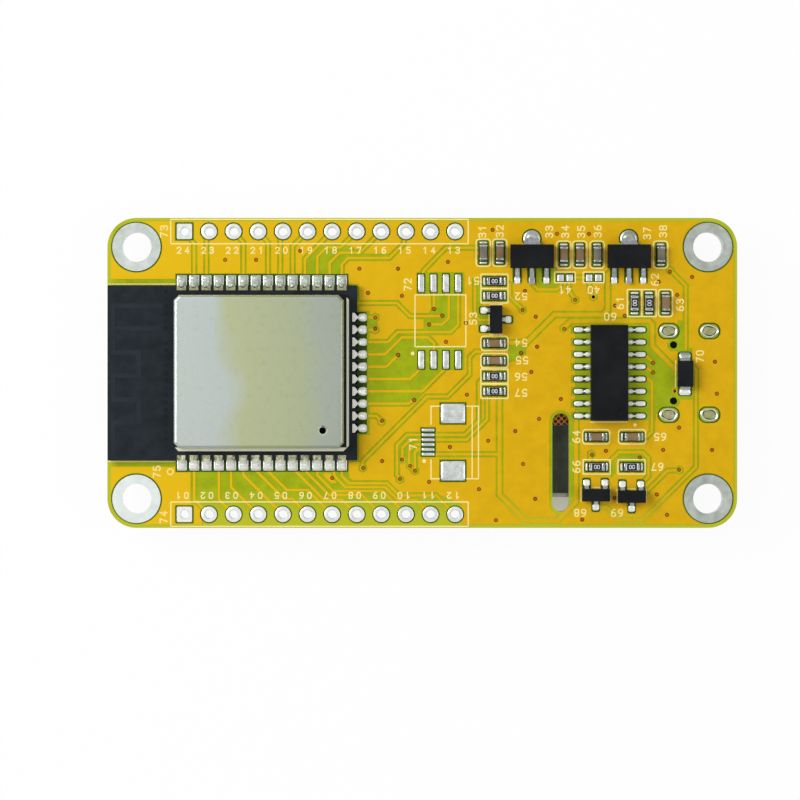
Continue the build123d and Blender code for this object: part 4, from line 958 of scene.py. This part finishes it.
def passive(node):
    """A dressed chip: its body, wrapped ends and the solder that climbs them."""
    low, high = box(node)
    axis = 0 if high[0] - low[0] > high[1] - low[1] else 1
    middle = middle_of(low, high)
    height = high[2] - low[2]
    is_resistor = node.startswith("resistor")

    def build(bm):
        brick(bm, *shrunk(low, high, axis, WRAP * 0.5, 0.03, 0.03), 0.04)
        climb = height * 0.72
        wedge = knots((0, 0.34, 0.06), (0.4, 0.42, climb * 0.4), (1, 0.4, climb * 0.3))
        for outward, edge in ((-1, low[axis]), (1, high[axis])):
            cap_low, cap_high = list(low), list(high)
            (cap_low if outward > 0 else cap_high)[axis] = edge - outward * WRAP
            brick(bm, cap_low, cap_high, 0.07, 4, 3)
            drop(bm, laid(axis, edge + outward * 0.36, middle[1 - axis]), laid(axis, -outward, 0),
                 0.2, wedge, TOP, 6, rough=0.1, slot=1)
        if is_resistor:
            coat_low, coat_high = shrunk(low, high, axis, WRAP + 0.04, 0.05)
            coat_low[2] = high[2] - 0.05
            brick(bm, coat_low, coat_high, 0.02, 2, 1)
            number(bm, 0, *middle, 90 * axis, (0.36, 0.32), 0.08, high[2] - 0.01,
                   high[2] + 0.004, 3)

    ceramic = CERAMIC_GREY if node in GREY_CHIPS else CERAMIC
    base, top = (ALUMINA, GLAZE) if is_resistor else (ceramic, ceramic)
    piece(node + "_dressed", build, base, BRIGHT, top, MARK, CAP_END, replaces=(node,),
          slot="resistor_coat" if is_resistor else "capacitor_ceramic")


# --- silkscreen
# strokes of each figure, in hundredths of its height
GLYPHS = {
    0: [("loop", (15, 0), (45, 0), (60, 20), (60, 80), (45, 100), (15, 100), (0, 80), (0, 20))],
    1: [("line", (12, 78), (36, 100), (36, 0))],
    2: [("line", (0, 80), (15, 100), (45, 100), (60, 82), (60, 60), (4, 0), (60, 0))],
    3: [("line", (2, 88), (16, 100), (45, 100), (58, 86), (58, 66), (42, 54)),
        ("line", (20, 54), (45, 54), (60, 38), (60, 16), (45, 0), (15, 0), (0, 14))],
    4: [("line", (46, 0), (46, 100), (6, 36)), ("line", (2, 30), (62, 30))],
    5: [("line", (55, 100), (5, 100), (2, 58), (40, 60), (60, 44), (60, 18), (44, 0), (12, 0),
         (0, 14))],
    6: [("loop", (15, 0), (45, 0), (60, 15), (60, 40), (45, 55), (15, 55), (0, 40), (0, 15)),
        ("line", (1, 42), (8, 76), (26, 95), (50, 100))],
    7: [("line", (0, 100), (58, 100), (20, 0))],
    8: [("loop", (15, 0), (45, 0), (60, 14), (60, 38), (45, 52), (15, 52), (0, 38), (0, 14)),
        ("loop", (16, 54), (44, 54), (57, 66), (57, 88), (44, 100), (16, 100), (3, 88), (3, 66))],
    9: [("loop", (45, 100), (15, 100), (0, 85), (0, 60), (15, 45), (45, 45), (60, 60), (60, 85)),
        ("line", (59, 58), (52, 24), (34, 5), (10, 0))],
}
GLYPH_WIDTH = 0.6
HEADER_GLYPH = (0.6, 0.82)
PART_GLYPH = (0.7, 0.72)
INK = 0.13
LINE = 0.13
INK_TOP = MASK_TOP + 0.012


def number(bm, value, x, y, turn=0, size=PART_GLYPH, ink=INK, low=TOP, high=INK_TOP, slot=0):
    """A plain two-figure number centred on (x, y), turned by so many degrees."""
    height, pitch = size
    unit = height / 100
    spin = Matrix.Rotation(math.radians(turn), 2)
    width = pitch + GLYPH_WIDTH * height
    for k, figure in enumerate(divmod(value, 10)):
        for level, (kind, *line) in enumerate(GLYPHS[figure]):
            points = []
            for u, v in line:
                local = Vector((u * unit + k * pitch - width / 2, v * unit - height / 2))
                points.append(spin @ local + Vector((x, y)))
            stroke(bm, points, ink, low, high + level * STEP, kind == "loop", slot)


def ink_line(bm, *points, width=LINE, lift=0.0):
    """An open printed line."""
    stroke(bm, points, width, TOP, INK_TOP + lift)


def frame_line(bm, x0, y0, x1, y1, radius=0.06, lift=0.0):
    """A closed box line with small round corners."""
    stroke(bm, rounded(x0, y0, x1, y1, radius, 2), LINE, TOP, INK_TOP + lift, closed=True)


def dot(bm, x, y, radius=0.2):
    """A filled printed dot."""
    lathe(bm, (x, y), [(radius, TOP), (radius, INK_TOP), (0.01, INK_TOP), (0.01, TOP)], 14)


LABELS = [
    # regulators and their capacitors, along the upper edge
    (31, 6.2, 14.55, 90), (32, 8.0, 14.6, 90), (33, 13.1, 14.55, 90),
    (34, 14.75, 14.55, 90), (35, 16.4, 14.55, 90), (36, 18.1, 14.6, 90),
    (37, 23.2, 14.4, 90), (38, 24.85, 14.6, 90),
    # jumpers
    (41, 14.75, 8.55, 180), (40, 17.7, 8.55, 180),
    # column of chips beside the memory footprint
    (51, 5.25, 9.5, 180), (52, 10.2, 7.9, 180), (53, 5.25, 5.6, 90), (54, 10.2, 3.1, 180),
    (55, 10.3, 1.3, 180), (56, 10.2, -0.4, 180), (57, 10.2, -2.05, 180),
    # serial chip
    (60, 19.4, 5.8, 180), (61, 20.4, 7.2, 90), (62, 24.0, 9.6, 90), (63, 26.6, 7.0, 90),
    (64, 15.9, -6.6, 90), (65, 24.55, -6.6, 180), (66, 15.9, -9.7, 90),
    (67, 24.25, -9.7, 180), (68, 16.3, -14.45, 180), (69, 20.1, -14.45, 180),
    # diode, touch connector, memory footprint, header rows and module
    (70, 28.65, 1.7, 90), (71, -0.95, -7.3, 90), (72, -1.5, 9.1, 90),
    (73, -26.65, 14.6, 90), (74, -26.7, -14.9, 90), (75, -27.4, -10.2, 90),
]


def silk_labels(bm):
    """Header numbers like those of a chip, and a plain number beside each part."""
    for i, x in enumerate(HEADER_X):
        number(bm, 2 * HEADER_COUNT - i, x - 0.15, HEADER_Y - 1.95, 0, HEADER_GLYPH)
        number(bm, i + 1, x - 0.2, 1.95 - HEADER_Y, 180, HEADER_GLYPH)
    for label in LABELS:
        number(bm, *label)
    ring = [(-26.0 + 0.3 * math.cos(a), -10.2 + 0.3 * math.sin(a))
            for a in (2 * math.pi * k / 14 for k in range(14))]
    stroke(bm, ring, 0.12, TOP, INK_TOP, closed=True)


def footprint_outlines(bm):
    """Boxes round the header rows, the memory and touch footprints and the jumpers."""
    left, right = HEADER_X[0] - 1.4, HEADER_X[-1] + 1.35
    for side in (-1, 1):
        inner, outer = side * (HEADER_Y - 1.28), side * (HEADER_Y + 1.24)
        frame_line(bm, left, min(inner, outer), right, max(inner, outer), 0.05)
    frame_line(bm, -0.75, 2.7, 4.5, 8.05)
    dot(bm, -0.99, 2.0)
    # touch connector: a bracket round the anchors and two lines at its back
    upper, lower = -3.44, -10.93
    for y, inner in ((upper, -5.3), (lower, -9.0)):
        ink_line(bm, (1.75, y), (0.9, y), (0.9, inner))
    ink_line(bm, (4.6, upper), (5.8, upper), (5.8, lower), (4.6, lower))
    ink_line(bm, (5.15, upper), (5.15, lower), lift=STEP)
    dot(bm, 0.2, -9.1)
    # neighbouring outlines lie on different levels, because some of them touch
    for order, node in enumerate(NODES):
        if is_chip(node):
            low, high = box(node)
            gx, gy = laid(int(high[1] - low[1] > high[0] - low[0]), 0.6, 0.34)
            radius = 0.3 if node.startswith("capacitor") else 0.06
            frame_line(bm, low[0] - gx, low[1] - gy, high[0] + gx, high[1] + gy, radius,
                       order % 5 * STEP)
    for x0, x1 in ((13.65, 15.8), (16.6, 18.75)):
        frame_line(bm, x0, 9.3, x1, 10.4)


def body_outlines(bm):
    """Short lines beside the chips, the diode and the module."""
    thin, fine = 0.12, 0.1
    low, high = box("usb_serial_chip_body")
    ink_line(bm, (low[0] + 0.1, low[1] - thin), (high[0] - 0.1, low[1] - thin), width=thin)
    dot(bm, high[0] + 0.75, low[1] - 0.42, 0.18)
    for name in ("transistor_2", "transistor_3"):
        low, high = box(name + "_body")
        for x in (low[0] - 0.06, high[0] + 0.06):
            ink_line(bm, (x, low[1]), (x, high[1] + 0.1), width=fine)
        x, y = (low[0] + high[0]) / 2, high[1] + 0.12
        ink_line(bm, (x - 0.4, y), (x + 0.4, y), width=thin)
    low, high = box("transistor_1_body")
    for y in (high[1] + 0.1, low[1] - 0.1):
        ink_line(bm, (low[0], y), (high[0], y), width=fine)
    ink_line(bm, (low[0] - 0.06, low[1] + 0.95), (low[0] - 0.06, high[1] - 0.95), width=fine)
    low, high = box("rectifier_diode_body")
    ink_line(bm, (low[0] - 0.12, low[1]), (low[0] - 0.12, high[1]), width=thin)
    for side in (-1, 1):
        y = side * (MODULE_HIGH[1] + 0.16)
        ink_line(bm, (MODULE_LOW[0] + 0.05, y), (JOINT_LOW[0] - 0.25, y), width=thin)


def silk_outlines(bm):
    """Boxes round the headers, footprints and chips, with the pin-one dots."""
    footprint_outlines(bm)
    body_outlines(bm)


piece("header_eyelets", header_eyelets, EYELET, replaces=("header_hole_plating",),
      slot="tin_plating")
piece("tented_vias", tented_vias, VIA_BROWN, VIA_DISH, slot="masked_copper")
piece("module_edge_solder", module_joints, BRIGHT, JOINT, replaces=("module_solder_joints",),
      slot="solder")
piece("serial_chip_solder", serial_feet, BRIGHT, replaces=("usb_serial_chip_leads",),
      slot="lead_tin")
piece("small_part_solder", small_feet, BRIGHT, RING_TIN, slot="solder")
piece("socket_tab_solder", socket_solder, SOLDER, FLUX, PAINTED_SHADE_GREEN, slot="solder")
piece("mask_openings", mask_openings, PAINTED_SHADE_GREEN, smooth=0, slot="board_laminate")
piece("pad_plates", pad_plates, TIN, replaces=("surface_pads",), slot="tin_plating")
piece("tab_opening_edges", tab_halos, PAINTED_SHADE_GREEN, smooth=0, slot="board_laminate")
piece("tinned_lands", tinned_lands, BRIGHT, PLASTIC, STAINED_TIN, smooth=0, slot="solder")
piece("module_antenna", antenna, ANTENNA, ANTENNA_RING, smooth=0, slot="module_laminate")
piece("vent_rim", vent_rim, RIM, slot="can_steel")
piece("tab_mask", tab_openings, MASK_GOLD, smooth=0, slot="masked_copper")
for node_name in filter(is_chip, NODES):
    passive(node_name)
piece("silk_labels", silk_labels, INK_WHITE, smooth=0)
piece("silk_outlines", silk_outlines, INK_WHITE, smooth=0)


# --- studio
def floor_material():
    """Pale paper that glows where it is seen, less so and warmer under the middle of the board, as
    a painted shadow of the board.
    """
    s = Shader("floor_paper", Base_Color=(0.86, 0.86, 0.86, 1), Roughness=0.9)
    path = s.tree.nodes.new("ShaderNodeLightPath").outputs
    seen = s.math("MAXIMUM", path["Is Camera Ray"],
                  s.math("MAXIMUM", path["Is Glossy Ray"], path["Is Transmission Ray"]))
    beside_slot = s.grey(s.axis(0), 0.0, 1.5 * MM, 4 * MM, 6 * MM)
    across = s.math("SUBTRACT", s.math("ABSOLUTE", s.axis(1)), beside_slot)
    shade = s.math("MULTIPLY",
                   s.grey(s.math("ABSOLUTE", s.axis(0)), 1.0, 0.0, 20 * MM, 28 * MM),
                   s.grey(across, 1.0, 0.0, 12.9 * MM, 14.5 * MM))
    tint = s.mix(shade, srgb(255, 255, 255), srgb(255, 251, 234))
    glow = s.new("ShaderNodeEmission", {"Color": tint, "Strength": 1.0})
    glow_share = s.math("SUBTRACT", 0.94, s.math("MULTIPLY", shade, 0.6))
    blend = s.new("ShaderNodeMixShader", {0: s.math("MULTIPLY", seen, glow_share),
                                          1: s.principled.outputs[0], 2: glow})
    s.feed(s.tree.nodes["Material Output"], {"Surface": blend})
    return s.material


def lamp(name, place, size, power):
    """A square lamp, in metres and watts, that faces the board."""
    data = bpy.data.lights.new(name, "AREA")
    data.shape = "SQUARE"
    data.size = size
    data.energy = power
    made = added(name, data)
    made.location = place
    made.rotation_euler = (-Vector(place)).to_track_quat("-Z", "Y").to_euler()


def studio():
    """Pale floor, soft sky and lamps, and the camera straight above."""
    scene = bpy.context.scene
    scene.view_settings.view_transform = "Standard"

    bm = bmesh.new()
    bmesh.ops.create_grid(bm, x_segments=2, y_segments=2, size=1.2)
    floor = added("floor", mesh_from("floor", bm))
    floor.location.z = cad_box[0][2]
    floor.data.materials.append(floor_material())

    scene.world = bpy.data.worlds.new("studio")
    scene.world.use_nodes = True
    sky = Nodes(scene.world.node_tree, "Generated")
    level = sky.grey(sky.axis(2), 0.2, 0.62, 0.1, 0.85)
    sky.feed(sky.tree.nodes["Background"], {"Color": (1, 1, 1, 1), "Strength": level})
    lamp("key", (-0.36, 0.14, 0.34), 0.3, 1.85)
    lamp("fill", (0.38, -0.1, 0.36), 0.3, 0.5)

    data = bpy.data.cameras.new("camera")
    data.sensor_width = 36.0
    data.lens = 130.8
    scene.camera = added("camera", data)
    scene.camera.location = (-2.3 * MM, -2.8 * MM, 301.6 * MM)


studio()
